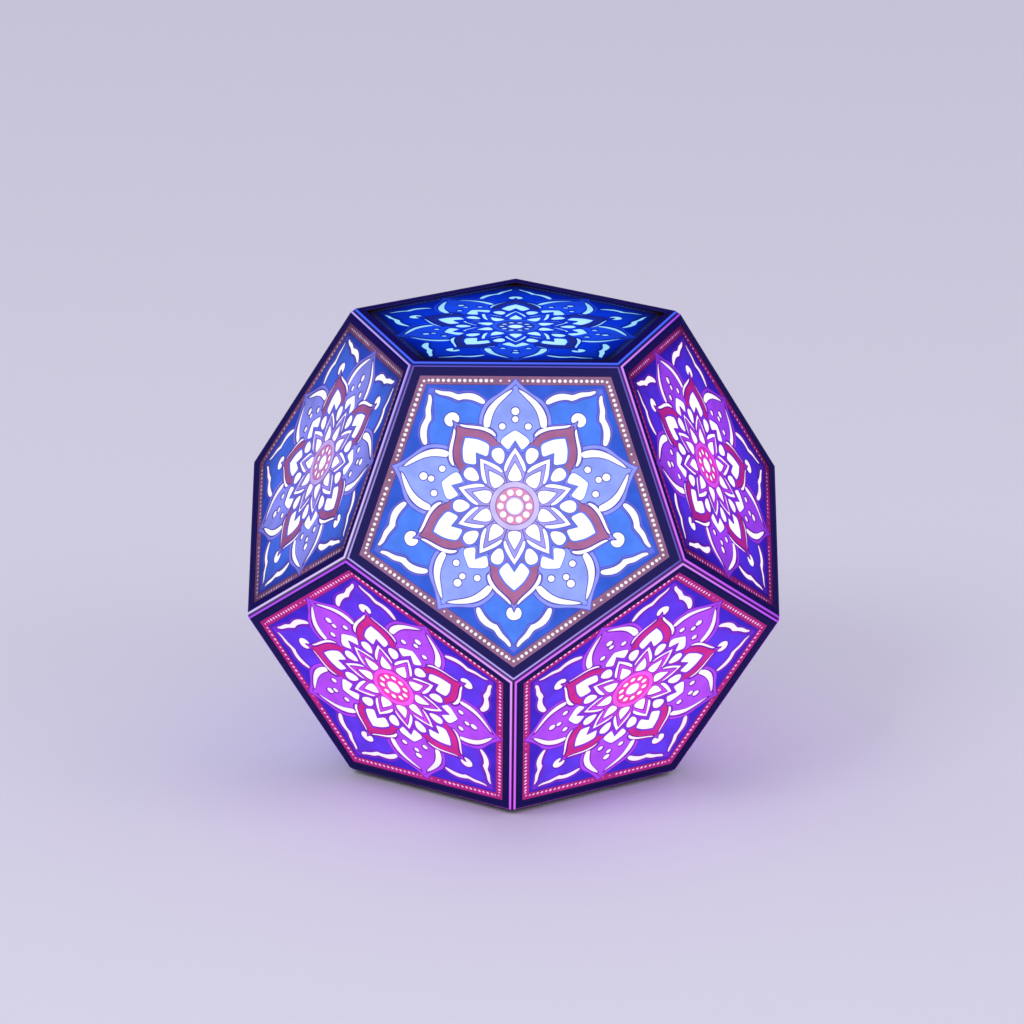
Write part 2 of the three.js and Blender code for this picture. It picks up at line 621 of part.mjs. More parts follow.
function topLedBoardShape() {
  const front = POST_TOP + CLEARANCE;
  const back = front + LED_BOARD_THICKNESS;
  const board = post(LED_BOARD_RADIUS, front, back, 0, 0, ROUND);
  return built(board, [block(LED_SIZE, LED_SIZE, front + LED_BOARD_THICKNESS / 2, back + LED_HEIGHT)]);
}

/** The lead from the driver board, over the battery and up inside the post. */
function ledLeadShape() {
  const besideBattery = (BATTERY_WIDTH + BOARD_WIDTH) / 4;
  const overBattery = (BATTERY_BACK + LID_DEPTH) / 2;
  const inPost = (POST_RADIUS - POST_WALL) / 2;
  const places = [
    [besideBattery, BOARD_BACK + CLEARANCE],
    [besideBattery, BATTERY_DEPTH],
    [besideBattery, BATTERY_BACK - LEAD_BEND],
    [BATTERY_WIDTH / 2, overBattery],
    [inPost + LEAD_BEND, overBattery],
    [inPost, LID_BACK],
    [inPost, UPPER_BELT_Z],
    [inPost, POST_TOP - POST_WALL - CLEARANCE],
  ];
  const route = new THREE.CatmullRomCurve3(places.map(([y, depth]) => new THREE.Vector3(0, y, -depth)));
  const section = new THREE.Shape(Array.from({ length: LEAD_SIDES }, (_, k) => {
    const angle = (2 * Math.PI * k) / LEAD_SIDES;
    return new THREE.Vector2(LEAD_RADIUS * Math.cos(angle), LEAD_RADIUS * Math.sin(angle));
  }));
  return new THREE.ExtrudeGeometry(section, { steps: LEAD_STEPS, extrudePath: route, bevelEnabled: false });
}

function modeButtonShape() {
  const front = WELL_DEPTH - BUTTON_PROUD;
  return turned([
    [0, BUTTON_FLANGE_BACK + STEM_LENGTH],
    [BUTTON_STEM_RADIUS, BUTTON_FLANGE_BACK + STEM_LENGTH],
    [BUTTON_STEM_RADIUS, BUTTON_FLANGE_BACK],
    [BUTTON_FLANGE_RADIUS, BUTTON_FLANGE_BACK],
    [BUTTON_FLANGE_RADIUS, BUTTON_FLANGE_FRONT],
    [BUTTON_RADIUS, BUTTON_FLANGE_FRONT],
    [BUTTON_RADIUS, front + BUTTON_DISH_DEPTH],
    [BUTTON_RADIUS - BUTTON_DISH_DEPTH, front],
    [BUTTON_DISH_RADIUS, front],
    [0, front + BUTTON_DISH_DEPTH],
  ]);
}

function pushSwitchShape() {
  return block(TACT_SIZE, TACT_SIZE, TACT_FRONT, BOARD_DEPTH - CLEARANCE);
}

/** The return spring: one unbroken wire wound round the push switch. */
function buttonSpringShape() {
  const start = BUTTON_FLANGE_BACK + CLEARANCE + SPRING_WIRE_RADIUS;
  const end = BOARD_DEPTH - CLEARANCE - SPRING_WIRE_RADIUS;
  const steps = SPRING_TURNS * SPRING_STEPS_PER_TURN;
  const positions = [];
  const index = [];
  for (let step = 0; step <= steps; step += 1) {
    const angle = (2 * Math.PI * step) / SPRING_STEPS_PER_TURN;
    const depth = start + ((end - start) * step) / steps;
    for (let side = 0; side < WIRE_SIDES; side += 1) {
      const round = (2 * Math.PI * side) / WIRE_SIDES;
      const radius = SPRING_RADIUS + SPRING_WIRE_RADIUS * Math.cos(round);
      const lift = SPRING_WIRE_RADIUS * Math.sin(round) - depth;
      positions.push(radius * Math.cos(angle), radius * Math.sin(angle), lift);
    }
  }
  for (let step = 0; step < steps; step += 1) {
    for (let side = 0; side < WIRE_SIDES; side += 1) {
      const here = step * WIRE_SIDES + side;
      const next = step * WIRE_SIDES + ((side + 1) % WIRE_SIDES);
      index.push(here, here + WIRE_SIDES, next, next, here + WIRE_SIDES, next + WIRE_SIDES);
    }
  }
  const lastRing = steps * WIRE_SIDES;
  for (let side = 1; side < WIRE_SIDES - 1; side += 1) {
    index.push(0, side, side + 1, lastRing, lastRing + side + 1, lastRing + side);
  }
  const geometry = new THREE.BufferGeometry();
  geometry.setAttribute("position", new THREE.Float32BufferAttribute(positions, 3));
  geometry.setIndex(index);
  return geometry;
}

function rockerBodyShape() {
  const back = WELL_DEPTH + ROCKER_BODY_DEPTH;
  const flangeBack = WELL_DEPTH - CLEARANCE;
  const flange = block(ROCKER_FLANGE_LENGTH, ROCKER_FLANGE_WIDTH, ROCKER_FLANGE_FRONT, flangeBack);
  const box = block(ROCKER_BODY_LENGTH, ROCKER_BODY_WIDTH, flangeBack - ROCKER_FLANGE_HEIGHT / 2, back);
  const cavity = block(ROCKER_CAVITY_LENGTH, ROCKER_CAVITY_WIDTH, -OVERRUN, back - ROCKER_CAVITY_FLOOR);
  const bearing = pivotPin(ROCKER_BODY_WIDTH + OVERRUN, PIVOT_RADIUS + CLEARANCE)
    .translate(0, 0, -ROCKER_PIVOT_DEPTH);
  return built(flange, [box], [cavity, bearing]);
}

/** A pin along y, centred on the pivot. */
function pivotPin(length, radius) {
  return new THREE.CylinderGeometry(radius, radius, length, SMALL_ROUND);
}

/** The rocker about its pivot, level. */
function rockerShape() {
  const width = ROCKER_CAVITY_WIDTH - 2 * CLEARANCE;
  const profile = new THREE.Shape([
    new THREE.Vector2(-ROCKER_HALF_LENGTH, ROCKER_CREST),
    new THREE.Vector2(-ROCKER_HALF_LENGTH, ROCKER_SHOULDER),
    new THREE.Vector2(-ROCKER_KEEL_HALF, -ROCKER_KEEL),
    new THREE.Vector2(ROCKER_KEEL_HALF, -ROCKER_KEEL),
    new THREE.Vector2(ROCKER_HALF_LENGTH, ROCKER_SHOULDER),
    new THREE.Vector2(ROCKER_HALF_LENGTH, ROCKER_CREST),
    new THREE.Vector2(0, ROCKER_DIP),
  ]);
  const paddle = new THREE.ExtrudeGeometry(profile, { depth: width, bevelEnabled: false })
    .translate(0, 0, -width / 2)
    .rotateX(QUARTER);
  return built(paddle, [pivotPin(ROCKER_CAVITY_WIDTH + 2 * PIVOT_REACH, PIVOT_RADIUS)]);
}

function socketShape() {
  const front = WELL_DEPTH;
  const back = BOARD_DEPTH - CLEARANCE;
  const end = SOCKET_HEIGHT / 2;
  const shell = roundedBlock(SOCKET_LENGTH, SOCKET_HEIGHT, end - CLEARANCE, front, back);
  const cavity = roundedBlock(SOCKET_LENGTH - 2 * SOCKET_WALL, SOCKET_HEIGHT - 2 * SOCKET_WALL,
    end - CLEARANCE - SOCKET_WALL, front - OVERRUN, back - SOCKET_BACK);
  const tongue = block(SOCKET_LENGTH - 2 * (SOCKET_WALL + TONGUE_END_GAP), TONGUE_THICKNESS,
    back - SOCKET_BACK - TONGUE_REACH, back - SOCKET_BACK / 2);
  const body = solid(shell).subtract(solid(cavity)).add(solid(tongue));
  return shapeOf(body).translate(SOCKET_X, 0, 0);
}

/** A finish for one piece. */
function finish(color, roughness, metalness = 0) {
  return new THREE.MeshStandardMaterial({ color, roughness, metalness });
}

/** Adds a named piece with its own material to a group. */
function addPiece(group, name, geometry, material) {
  const mesh = new THREE.Mesh(geometry, material);
  mesh.name = name;
  group.add(mesh);
  return mesh;
}

/** A group that stands on a face's frame. */
function onFace(parent, frame) {
  const group = new THREE.Group();
  group.applyMatrix4(frame);
  parent.add(group);
  return group;
}

const lantern = new THREE.Group();
const middle = new THREE.Group();
middle.position.z = FOOT_PROUD + INRADIUS;
lantern.add(middle);

const bezel = bezelShape();
const card = cardShape();
const diffuser = diffuserShape();
for (const { name, frame } of LIT_FACES) {
  const face = onFace(middle, frame);
  addPiece(face, `bezel_${name}`, bezel, finish("#0b0a10", 0.12));
  addPiece(face, `card_panel_${name}`, card, finish("#3a5bc8", 0.6));
  addPiece(face, `diffuser_${name}`, diffuser, finish("#f4f2ff", 0.5));
}

const halves = cageHalves();
addPiece(middle, "inner_frame_upper", halves.upper, finish("#16151c", 0.5));
addPiece(middle, "inner_frame_lower", halves.lower, finish("#16151c", 0.5));

const base = onFace(middle, BASE_FRAME);
addPiece(base, "base_tray", baseTrayShape(), finish("#0d0c12", 0.3));
addPiece(base, "driver_board", driverBoardShape(), finish("#1c5a34", 0.5));
addPiece(base, "battery_pack", batteryShape(), finish("#3f74c9", 0.4));
addPiece(base, "light_post", lightPostShape(), finish("#f2f2f0", 0.6));
addPiece(base, "lower_led_belt", beltShape(LOWER_BELT_Z, -QUARTER + STEP / 2), finish("#f5f0e4", 0.5));
addPiece(base, "upper_led_belt", beltShape(UPPER_BELT_Z, -QUARTER), finish("#f5f0e4", 0.5));
addPiece(base, "top_led_board", topLedBoardShape(), finish("#f5f0e4", 0.5));
addPiece(base, "led_lead", ledLeadShape(), finish("#e9e9e9", 0.5));
addPiece(base, "mode_button", modeButtonShape(), finish("#d9dbe2", 0.35)).position.x = BUTTON_X;
addPiece(base, "push_switch_body", pushSwitchShape(), finish("#1a1a1d", 0.5)).position.x = BUTTON_X;
addPiece(base, "button_spring", buttonSpringShape(), finish("#b9bcc2", 0.3, 1)).position.x = BUTTON_X;
addPiece(base, "rocker_switch_body", rockerBodyShape(), finish("#121216", 0.4));
addPiece(base, "usb_c_socket", socketShape(), finish("#c3c6cc", 0.3, 1));
const rocker = addPiece(base, "power_rocker", rockerShape(), finish("#15151a", 0.35));
rocker.position.z = -ROCKER_PIVOT_DEPTH;
rocker.rotation.y = ROCKER_TILT;

cornerPlaces(SCREW_CIRCLE).forEach(([x, y], k) => {
  addPiece(base, `base_screw_${k + 1}`, screwShape(), finish("#2a2a30", 0.35, 1)).position.set(x, y, 0);
});
cornerPlaces(FOOT_CIRCLE).forEach(([x, y], k) => {
  addPiece(base, `foot_${k + 1}`, footShape(), finish("#101012", 0.9)).position.set(x, y, 0);
});

export default lantern;
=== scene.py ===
# %% [markdown]
# # A dodecahedron lantern in eleven pierced and printed cards
# The solid parts were made first and are loaded here as the frame. This file dresses them for a picture:
# the printed cards with every fine piercing, the mouldings round them, the glowing sheets behind, and the
# controls underneath. Everything is in metres, +Z is up, and the front face looks along -Y.

# %% Load the frame and keep its box
import json
import math
from collections import namedtuple

import bmesh
import bpy
import numpy as np
from mathutils import Matrix, Vector
from mathutils.geometry import delaunay_2d_cdt


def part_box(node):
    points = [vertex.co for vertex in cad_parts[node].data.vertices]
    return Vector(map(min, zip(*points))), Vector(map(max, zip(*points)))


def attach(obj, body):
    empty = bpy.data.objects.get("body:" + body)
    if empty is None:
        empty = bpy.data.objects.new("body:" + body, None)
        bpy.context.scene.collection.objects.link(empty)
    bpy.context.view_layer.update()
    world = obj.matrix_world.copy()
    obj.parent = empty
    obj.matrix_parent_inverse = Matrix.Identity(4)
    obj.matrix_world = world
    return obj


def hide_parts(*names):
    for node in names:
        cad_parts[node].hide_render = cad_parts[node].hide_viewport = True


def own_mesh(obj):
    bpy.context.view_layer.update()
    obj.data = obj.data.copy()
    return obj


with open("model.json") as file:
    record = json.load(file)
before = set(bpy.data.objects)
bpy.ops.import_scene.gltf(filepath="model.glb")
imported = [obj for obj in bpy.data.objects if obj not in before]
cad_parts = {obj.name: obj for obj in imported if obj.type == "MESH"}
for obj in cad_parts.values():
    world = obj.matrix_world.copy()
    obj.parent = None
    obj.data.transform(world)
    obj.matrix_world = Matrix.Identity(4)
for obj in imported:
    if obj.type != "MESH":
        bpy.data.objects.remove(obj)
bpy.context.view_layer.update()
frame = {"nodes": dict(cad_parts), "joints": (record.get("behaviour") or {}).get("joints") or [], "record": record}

# %% [markdown]
# ## The twelve faces
# A regular dodecahedron has one rule for all its faces, so each piece is drawn once on a flat face and then
# placed on the others. On a face, x runs to the right, y to the middle of the flat edge and z outwards,
# with z = 0 on the ideal face. The sizes repeat those of the solid parts.

# %% Sizes of the lantern
MM = 0.001
ACROSS_FLATS = 150 * MM
FOOT_PROUD = 1.2 * MM
GOLDEN = (1 + math.sqrt(5)) / 2
SIDES = 5
STEP = math.tau / SIDES
INRADIUS = ACROSS_FLATS / 2
APOTHEM = INRADIUS / GOLDEN
RING_TILT = math.atan(0.5)
MIDDLE = Vector((0, 0, INRADIUS + FOOT_PROUD))


def face_frame(azimuth, elevation, edge_up):
    """Matrix that puts a piece drawn on the flat face onto the face that looks this way."""
    out = Vector((math.sin(azimuth) * math.cos(elevation), -math.cos(azimuth) * math.cos(elevation),
                  math.sin(elevation)))
    up = Vector((-math.sin(azimuth) * math.sin(elevation), math.cos(azimuth) * math.sin(elevation),
                 math.cos(elevation)))
    up = up if edge_up else -up
    place = Matrix((up.cross(out), up, out)).transposed().to_4x4()
    place.translation = MIDDLE + out * INRADIUS
    return place


FACES = {"top": face_frame(0, math.pi / 2, False)}
for k in range(SIDES):
    FACES[f"upper_{k + 1}"] = face_frame(k * STEP, RING_TILT, True)
for k in range(SIDES):
    FACES[f"lower_{k + 1}"] = face_frame((k + 0.5) * STEP, -RING_TILT, False)
BASE = face_frame(0, -math.pi / 2, False)
print(len(FACES), "lit faces, edge length", round(2 * APOTHEM * math.tan(STEP / 2) * 1000, 2), "mm")

# %% [markdown]
# ## The light of each face
# The lamps inside have a colour for each face: cool white towards the front, blue above and magenta at the
# right and below. Each face has a row: the light that soaks through its card, the share of it that is left
# at the corners, the tint of the opal sheet and the painted highlight of the bead round it, an emission that
# stands in for the coloured highlights along the seams. The colours travel with the meshes as an attribute
# called light, so every face can share one finish. Two lit faces also set the painted highlight on the seam
# between them, so a bead's colour may change from side to side. Colours here are linear.

# %% Light through each face
# bead: the painted highlight on the moulding round the face, an emission colour.
FaceLight = namedtuple("FaceLight", "card corner_share sheet bead")
LIGHTS = {
    "top": FaceLight((0.008, 0.17, 0.92), 0.0, (0.28, 0.70, 1.0), (0.06, 0.14, 1.0)),
    "upper_1": FaceLight((1.0, 1.0, 1.0), 1.0, (1.0, 1.0, 1.0), (0.12, 0.09, 0.52)),
    "upper_2": FaceLight((1.16, 0.125, 0.90), 0.3, (1.0, 0.92, 1.0), (0.42, 0.06, 0.8)),
    "upper_3": FaceLight((1.25, 0.3, 1.0), 0.5, (1.0, 0.88, 1.0), (0.45, 0.12, 0.9)),
    "upper_4": FaceLight((0.55, 0.6, 1.05), 0.6, (0.85, 0.92, 1.0), (0.3, 0.25, 0.95)),
    "upper_5": FaceLight((0.86, 0.70, 0.90), 0.4, (1.0, 0.99, 1.0), (0.5, 0.38, 0.95)),
    "lower_1": FaceLight((1.58, 0.195, 0.96), 0.85, (1.0, 0.92, 1.0), (0.55, 0.08, 0.98)),
    "lower_2": FaceLight((1.5, 0.22, 1.0), 0.7, (1.0, 0.88, 1.0), (0.55, 0.1, 0.95)),
    "lower_3": FaceLight((0.9, 0.5, 1.02), 0.6, (0.92, 0.9, 1.0), (0.4, 0.25, 0.95)),
    "lower_4": FaceLight((0.9, 0.5, 1.02), 0.6, (0.92, 0.9, 1.0), (0.4, 0.25, 0.95)),
    "lower_5": FaceLight((1.62, 0.185, 0.96), 0.85, (1.0, 0.92, 1.0), (0.5, 0.08, 0.95)),
}
# Painted highlights on the bead of a face where it meets this neighbour.
SEAM_LIGHT = {
    ("upper_1", "top"): (0.17, 0.12, 0.68),
    ("upper_1", "lower_1"): (0.5, 0.4, 0.95),
    ("upper_1", "lower_5"): (0.5, 0.4, 0.95),
    ("upper_2", "top"): (0.23, 0.02, 0.65),
    ("upper_2", "upper_1"): (0.78, 0.28, 0.98),
    ("upper_2", "lower_1"): (0.72, 0.14, 1.0),
    ("upper_5", "top"): (0.33, 0.22, 0.98),
    ("upper_5", "upper_1"): (0.76, 0.6, 1.0),
    ("upper_5", "lower_5"): (0.7, 0.55, 1.0),
    ("lower_1", "upper_1"): (0.76, 0.28, 0.98),
    ("lower_1", "lower_5"): (0.75, 0.14, 1.0),
    ("lower_5", "upper_1"): (0.88, 0.4, 1.0),
    ("lower_5", "lower_1"): (0.72, 0.11, 1.0),
}
# The painted highlight on beads beside the base, kept dark.
BASE_SEAM_LIGHT = (0.03, 0.0, 0.08)
print("light set for", len(LIGHTS), "faces")

# %% [markdown]
# ## Building node trees as expressions
# Materials and Geometry Nodes are both made of nodes, and long chains of them are hard to read. A small
# class holds a socket and turns Python's operators into Math nodes, so that 1 - mask reads as it is meant.
# Everything else goes through one method that takes a node's type, its settings and what its sockets get.

# %% A socket that adds its own Math nodes
class Flow:
    """A value flowing through a node tree."""

    def __init__(self, tree, socket):
        self.tree = tree
        self.socket = socket

    def math(self, operation, *values):
        return self.tree.node("ShaderNodeMath", {"operation": operation}, *values).out()

    def __add__(self, other):
        return self.math("ADD", self, other)

    def __sub__(self, other):
        return self.math("SUBTRACT", self, other)

    def __rsub__(self, other):
        return self.math("SUBTRACT", other, self)

    def __mul__(self, other):
        return self.math("MULTIPLY", self, other)

    __radd__ = __add__
    __rmul__ = __mul__

    def between(self, low, high):
        """Rises smoothly from 0 to 1 as this value goes from low to high."""
        settings = {"interpolation_type": "SMOOTHSTEP"}
        return self.tree.node("ShaderNodeMapRange", settings, self, low, high).out()


print("a number may stand first in", [name for name in vars(Flow) if name.startswith("__r")])

# %% Nodes and trees
# A Mix node has a set of sockets for each kind of value. These are its two colours and their result.
MIX_FIRST, MIX_SECOND, MIX_RESULT = 6, 7, 2


class Made:
    """A node, whose outputs are taken by number or by name."""

    def __init__(self, tree, node):
        self.tree = tree
        self.node = node

    def out(self, which=0):
        return Flow(self.tree, self.node.outputs[which])


class Tree:
    """A node tree of a material or a modifier."""

    def __init__(self, nodes):
        self.nodes = nodes

    def fill(self, node, values):
        """Gives sockets, by number or by name with _ for a space, a link or a plain value."""
        for which, value in values.items():
            socket = node.inputs[which if isinstance(which, int) else which.replace("_", " ")]
            if isinstance(value, Flow):
                self.nodes.links.new(value.socket, socket)
            else:
                socket.default_value = value

    def node(self, kind, settings=None, *values, **named):
        """Adds a node, sets it up, then fills its sockets in order or by name."""
        node = self.nodes.nodes.new(kind)
        for name, value in (settings or {}).items():
            setattr(node, name, value)
        self.fill(node, {**dict(enumerate(values)), **named})
        return Made(self, node)

    def mix(self, share, *colours, blend="MIX"):
        """Mixes two colours."""
        mixed = self.node("ShaderNodeMix", {"data_type": "RGBA", "blend_type": blend}, share)
        first, second = (colour if isinstance(colour, Flow) else (*colour, 1) for colour in colours)
        self.fill(mixed.node, {MIX_FIRST: first, MIX_SECOND: second})
        return mixed.out(MIX_RESULT)


print("a tree can", [name for name in vars(Tree) if name[0] != "_"])

# %% [markdown]
# ## Finishes
# Each finish is one small material. The pattern of a material reads Object coordinates or an attribute of
# the mesh, so that it stays put when the piece is turned or exported. A surface() helper takes what is the
# same all over as plain values.

# %% Helpers for finishes
def surface(name, build=None, **constants):
    """A material whose Principled shader gets these constants, and what build(tree) returns."""
    material = bpy.data.materials.new(name)
    material.use_nodes = True
    tree = Tree(material.node_tree)
    varying = build(tree) if build else {}
    tree.fill(material.node_tree.nodes["Principled BSDF"], {**constants, **varying})
    return material


def noise(tree, scale, detail=2.0):
    """Soft random mottling, about 0.5 on average, that keeps its place on the piece."""
    place = tree.node("ShaderNodeTexCoord").out("Object")
    return tree.node("ShaderNodeTexNoise", None, Vector=place, Scale=scale, Detail=detail).out()


def carried(tree, name, output="Color"):
    """A colour, or with Fac a number, that the mesh carries."""
    return tree.node("ShaderNodeAttribute", {"attribute_name": name}).out(output)


def scaled(tree, colour, by):
    return tree.node("ShaderNodeVectorMath", {"operation": "SCALE"}, colour, Scale=by).out()


def bumped(tree, height, strength, distance):
    return tree.node("ShaderNodeBump", None, Height=height, Strength=strength, Distance=distance).out()


def toned(dark, pale, scale, roughness, grain=None):
    """A build step for one colour that drifts between two tones, with some change of gloss and fine grain."""
    low, high = roughness

    def build(tree):
        links = {"Base_Color": tree.mix(noise(tree, scale).between(0.35, 0.65), dark, pale),
                 "Roughness": low + (high - low) * noise(tree, scale * 3).between(0.3, 0.7)}
        if grain:
            grain_scale, depth = grain
            links["Normal"] = bumped(tree, noise(tree, grain_scale, 3.0), 1.0, depth)
        return links
    return build


print("finish helpers ready")

# %% [markdown]
# ### Printed card, lit from behind
# The card is thin board with a blue, lilac and rust print. Light from the lamps soaks through it, so its
# inks glow in the colour of their face. The ink colour is carried by the mesh. A share of it is plain paint
# that the room lights, and the rest shines as emission times the face's light, with the cloudiness of
# paper.

# %% The card's finish
PAINT_SHARE = 0.03


def printed_card(tree):
    ink = carried(tree, "ink")
    clouds = 0.86 + 0.28 * noise(tree, 160.0, 3.0).between(0.2, 0.8)
    fibres = noise(tree, 2600.0)
    lit_ink = tree.mix(1.0, ink, carried(tree, "light"), blend="MULTIPLY")
    return {"Base_Color": tree.mix(1.0, ink, (PAINT_SHARE,) * 3, blend="MULTIPLY"),
            "Emission_Color": scaled(tree, lit_ink, (1 - PAINT_SHARE) * clouds),
            "Normal": bumped(tree, fibres, 0.35, 0.00004)}


card_finish = surface("printed card", printed_card, Roughness=0.62, Emission_Strength=1.0,
                      Specular_IOR_Level=0.0)
print("card finish made")

# %% [markdown]
# ### Opal sheet
# The opal sheet behind the card spreads the lamps' light until it looks even. It is the brightest thing in
# the picture, so it is mostly emission, a little stronger in the middle of each face and faintly cloudy
# like milk. The milk changes its gloss a little too, and a fine frost roughens its skin.

# %% The opal sheet's finish
def opal_sheet(tree):
    milk = noise(tree, 110.0, 3.0)
    frost = noise(tree, 3200.0)
    return {"Emission_Color": scaled(tree, carried(tree, "light"), 0.96 + 0.06 * milk.between(0.25, 0.75)),
            "Roughness": 0.42 + 0.16 * milk.between(0.3, 0.7),
            "Normal": bumped(tree, frost, 0.25, 0.00003)}


opal_finish = surface("opal sheet", opal_sheet, Base_Color=(0.12, 0.12, 0.14, 1), Emission_Strength=1.0,
                      Specular_IOR_Level=0.1)
print("opal finish made")

# %% [markdown]
# ### Black gloss with a painted highlight on the bead
# The mouldings are polished black. Their base colour is a dark navy, a painted reflection of blue-violet
# light on the black. Along the outer edge of each runs a fine bead whose seam side glows with a painted
# highlight in the colour of its face, which is why every seam shows as two thin coloured lines.

# %% The mouldings' finish
def black_gloss(tree):
    # The emission is a painted highlight: the light attribute times the share lit along the bead.
    glow = scaled(tree, carried(tree, "light"), carried(tree, "lit", "Fac"))
    facing = tree.node("ShaderNodeLayerWeight", None, Blend=0.5).out("Facing")
    return {"Emission_Color": glow,
            "Roughness": 0.3 + 0.1 * noise(tree, 60.0).between(0.3, 0.7),
            "Coat_Weight": 0.4 * (1 - facing.between(0.15, 0.75))}


# The navy in the base colour is a painted reflection of blue-violet light on black plastic.
painted_highlight_bezel_finish = surface("black gloss moulding", black_gloss, Base_Color=(0.009, 0.005, 0.095, 1),
                       Emission_Strength=1.0, Specular_IOR_Level=0.0, Coat_Roughness=0.12)
print("moulding finish made")

# %% [markdown]
# ## The card's drawing
# The card carries a rosette: a centre with dots, ten inner petals, ten pearls, five rust petals towards the
# corners, five lilac petals towards the edges and a cusped corner piece in each corner. Every shape is
# drawn once, as a few points in millimetres beside and along a ray from the middle. The points are joined
# by smooth curves, but for the tips, and the shape is then turned onto each ray that carries it.

# %% Smooth outlines from a few points
def smooth(points, sharp=(), spacing=0.42):
    """A closed outline through the points, rounded everywhere but at the sharp ones."""
    points = np.asarray(points, float)
    count = len(points)
    after = np.roll(points, -1, 0) - points
    lengths = np.hypot(*after.T)
    ways = after / lengths[:, None]
    before = np.roll(ways, 1, 0)
    middle = ways * np.roll(lengths, 1)[:, None] + before * lengths[:, None]
    middle /= np.hypot(*middle.T)[:, None] + 1e-12
    result = []
    for i in range(count):
        j = (i + 1) % count
        leave = ways[i] if i in sharp else middle[i]
        arrive = ways[i] if j in sharp else middle[j]
        steps = max(1, round(lengths[i] / spacing))
        for t in np.arange(steps) / steps:
            here, there = 2 * t ** 3 - 3 * t ** 2 + 1, 3 * t ** 2 - 2 * t ** 3
            leaving, arriving = t ** 3 - 2 * t ** 2 + t, t ** 3 - t ** 2
            result.append(points[i] * here + leave * lengths[i] * leaving
                          + points[j] * there + arrive * lengths[i] * arriving)
    return np.array(result)


def both_sides(half, sharp=()):
    """A shape that is the same on both sides of its ray, from the points of its right half."""
    last = len(half) - 1
    mirrored = [(-x, y) for x, y in reversed(half[1:-1])]
    return smooth([*half, *mirrored], {*sharp, *(2 * last - i for i in sharp if 0 < i < last)})


def disc(x, y, radius, count=16):
    turns = np.arange(count) * math.tau / count
    return np.stack([x + radius * np.cos(turns), y + radius * np.sin(turns)], 1)


print("a circle of 16 points:", disc(0, 0, 1).shape)

# %% Turning an outline and making it larger
FIFTH = 360 / SIDES
SIDE_ANGLES = [90 + FIFTH * k for k in range(SIDES)]
CORNER_ANGLES = [angle - FIFTH / 2 for angle in SIDE_ANGLES]
PETAL_ANGLES = [90 + FIFTH / 2 * k for k in range(2 * SIDES)]
PEARL_ANGLES = [FIFTH / 2 * k for k in range(2 * SIDES)]


def along_ray(outline, degrees, flip=False):
    """Turns an outline onto the ray at this angle on the face, mirrored if asked."""
    angle = math.radians(degrees)
    side = np.array([math.sin(angle), -math.cos(angle)])
    ray = np.array([math.cos(angle), math.sin(angle)])
    x = -outline[:, 0] if flip else outline[:, 0]
    turned = x[:, None] * side + outline[:, 1:] * ray
    return turned[::-1] if flip else turned


def grown(outline, by):
    """An outline moved outwards by a distance, inwards if it is negative."""
    ahead = np.roll(outline, -1, 0) - outline
    area = np.sum(outline[:, 0] * np.roll(outline[:, 1], -1) - outline[:, 1] * np.roll(outline[:, 0], -1))
    normal = np.stack([ahead[:, 1], -ahead[:, 0]], 1) * (1 if area > 0 else -1)
    normal /= np.hypot(*normal.T)[:, None] + 1e-12
    previous = np.roll(normal, 1, 0)
    middle = (normal + previous) / (1 + np.sum(normal * previous, 1))[:, None].clip(0.45)
    return outline + by * middle


print("petals on the rays at", PETAL_ANGLES)

# %% Cut-outs, drawn on one ray
TEARDROP = both_sides([(0, 14.4), (0.5, 13.6), (1.0, 12.7), (1.5, 11.8), (1.9, 10.9), (2.12, 10.0),
                       (2.12, 9.2), (1.75, 8.55), (0.95, 8.3), (0, 8.2)], {0})
PETAL_VEE = both_sides([(0, 19.3), (0.95, 17.95), (1.6, 16.95), (2.2, 15.95), (2.75, 14.95), (3.17, 13.95),
                        (3.45, 13.0), (3.5, 12.1), (3.3, 11.4), (2.95, 11.5), (2.6, 12.3), (2.2, 13.2),
                        (1.75, 14.15), (1.3, 15.1), (0.8, 16.15), (0, 17.5)], {0, 15})
PEARL = both_sides([(0, 20.1), (0.95, 19.95), (1.6, 19.45), (2.0, 18.6), (2.05, 17.7), (1.8, 16.75),
                    (1.35, 15.85), (0.85, 15.15), (0.4, 14.8), (0, 14.7)])
LOBES = [(4.3, 20.45), (3.6, 19.75), (2.95, 19.1), (2.4, 18.8), (1.95, 19.0), (1.5, 19.65), (1.0, 20.4),
         (0.5, 21.15), (0, 21.9)]
HEART = both_sides([(0, 27.7), (1.05, 26.85), (2.1, 25.9), (2.95, 25.0), (3.65, 24.0), (4.25, 23.0),
                    (4.7, 22.1), (4.8, 21.3), *LOBES], {0, 16})
SPADE = both_sides([(0, 25.1), (0.95, 24.65), (1.95, 24.0), (2.95, 23.3), (3.85, 22.6), (4.45, 21.9),
                    (4.65, 21.2), *LOBES], {0, 15})
LILAC_CRESCENT = smooth([(1.0, 38.7), (2.5, 38.0), (4.0, 37.05), (5.35, 36.05), (6.6, 35.0), (7.6, 34.0),
                         (8.45, 33.0), (9.1, 32.0), (9.6, 31.0), (10.0, 30.0), (10.25, 29.0), (10.37, 28.0),
                         (10.35, 27.0), (10.1, 26.1), (9.2, 25.9), (8.4, 26.2), (8.15, 27.0), (7.95, 28.0),
                         (7.72, 29.0), (7.4, 30.0), (7.05, 31.0), (6.52, 32.0), (5.9, 33.0), (5.1, 34.0),
                         (4.15, 35.0), (3.1, 36.05), (2.1, 37.1), (1.2, 38.1)], {0, 15})
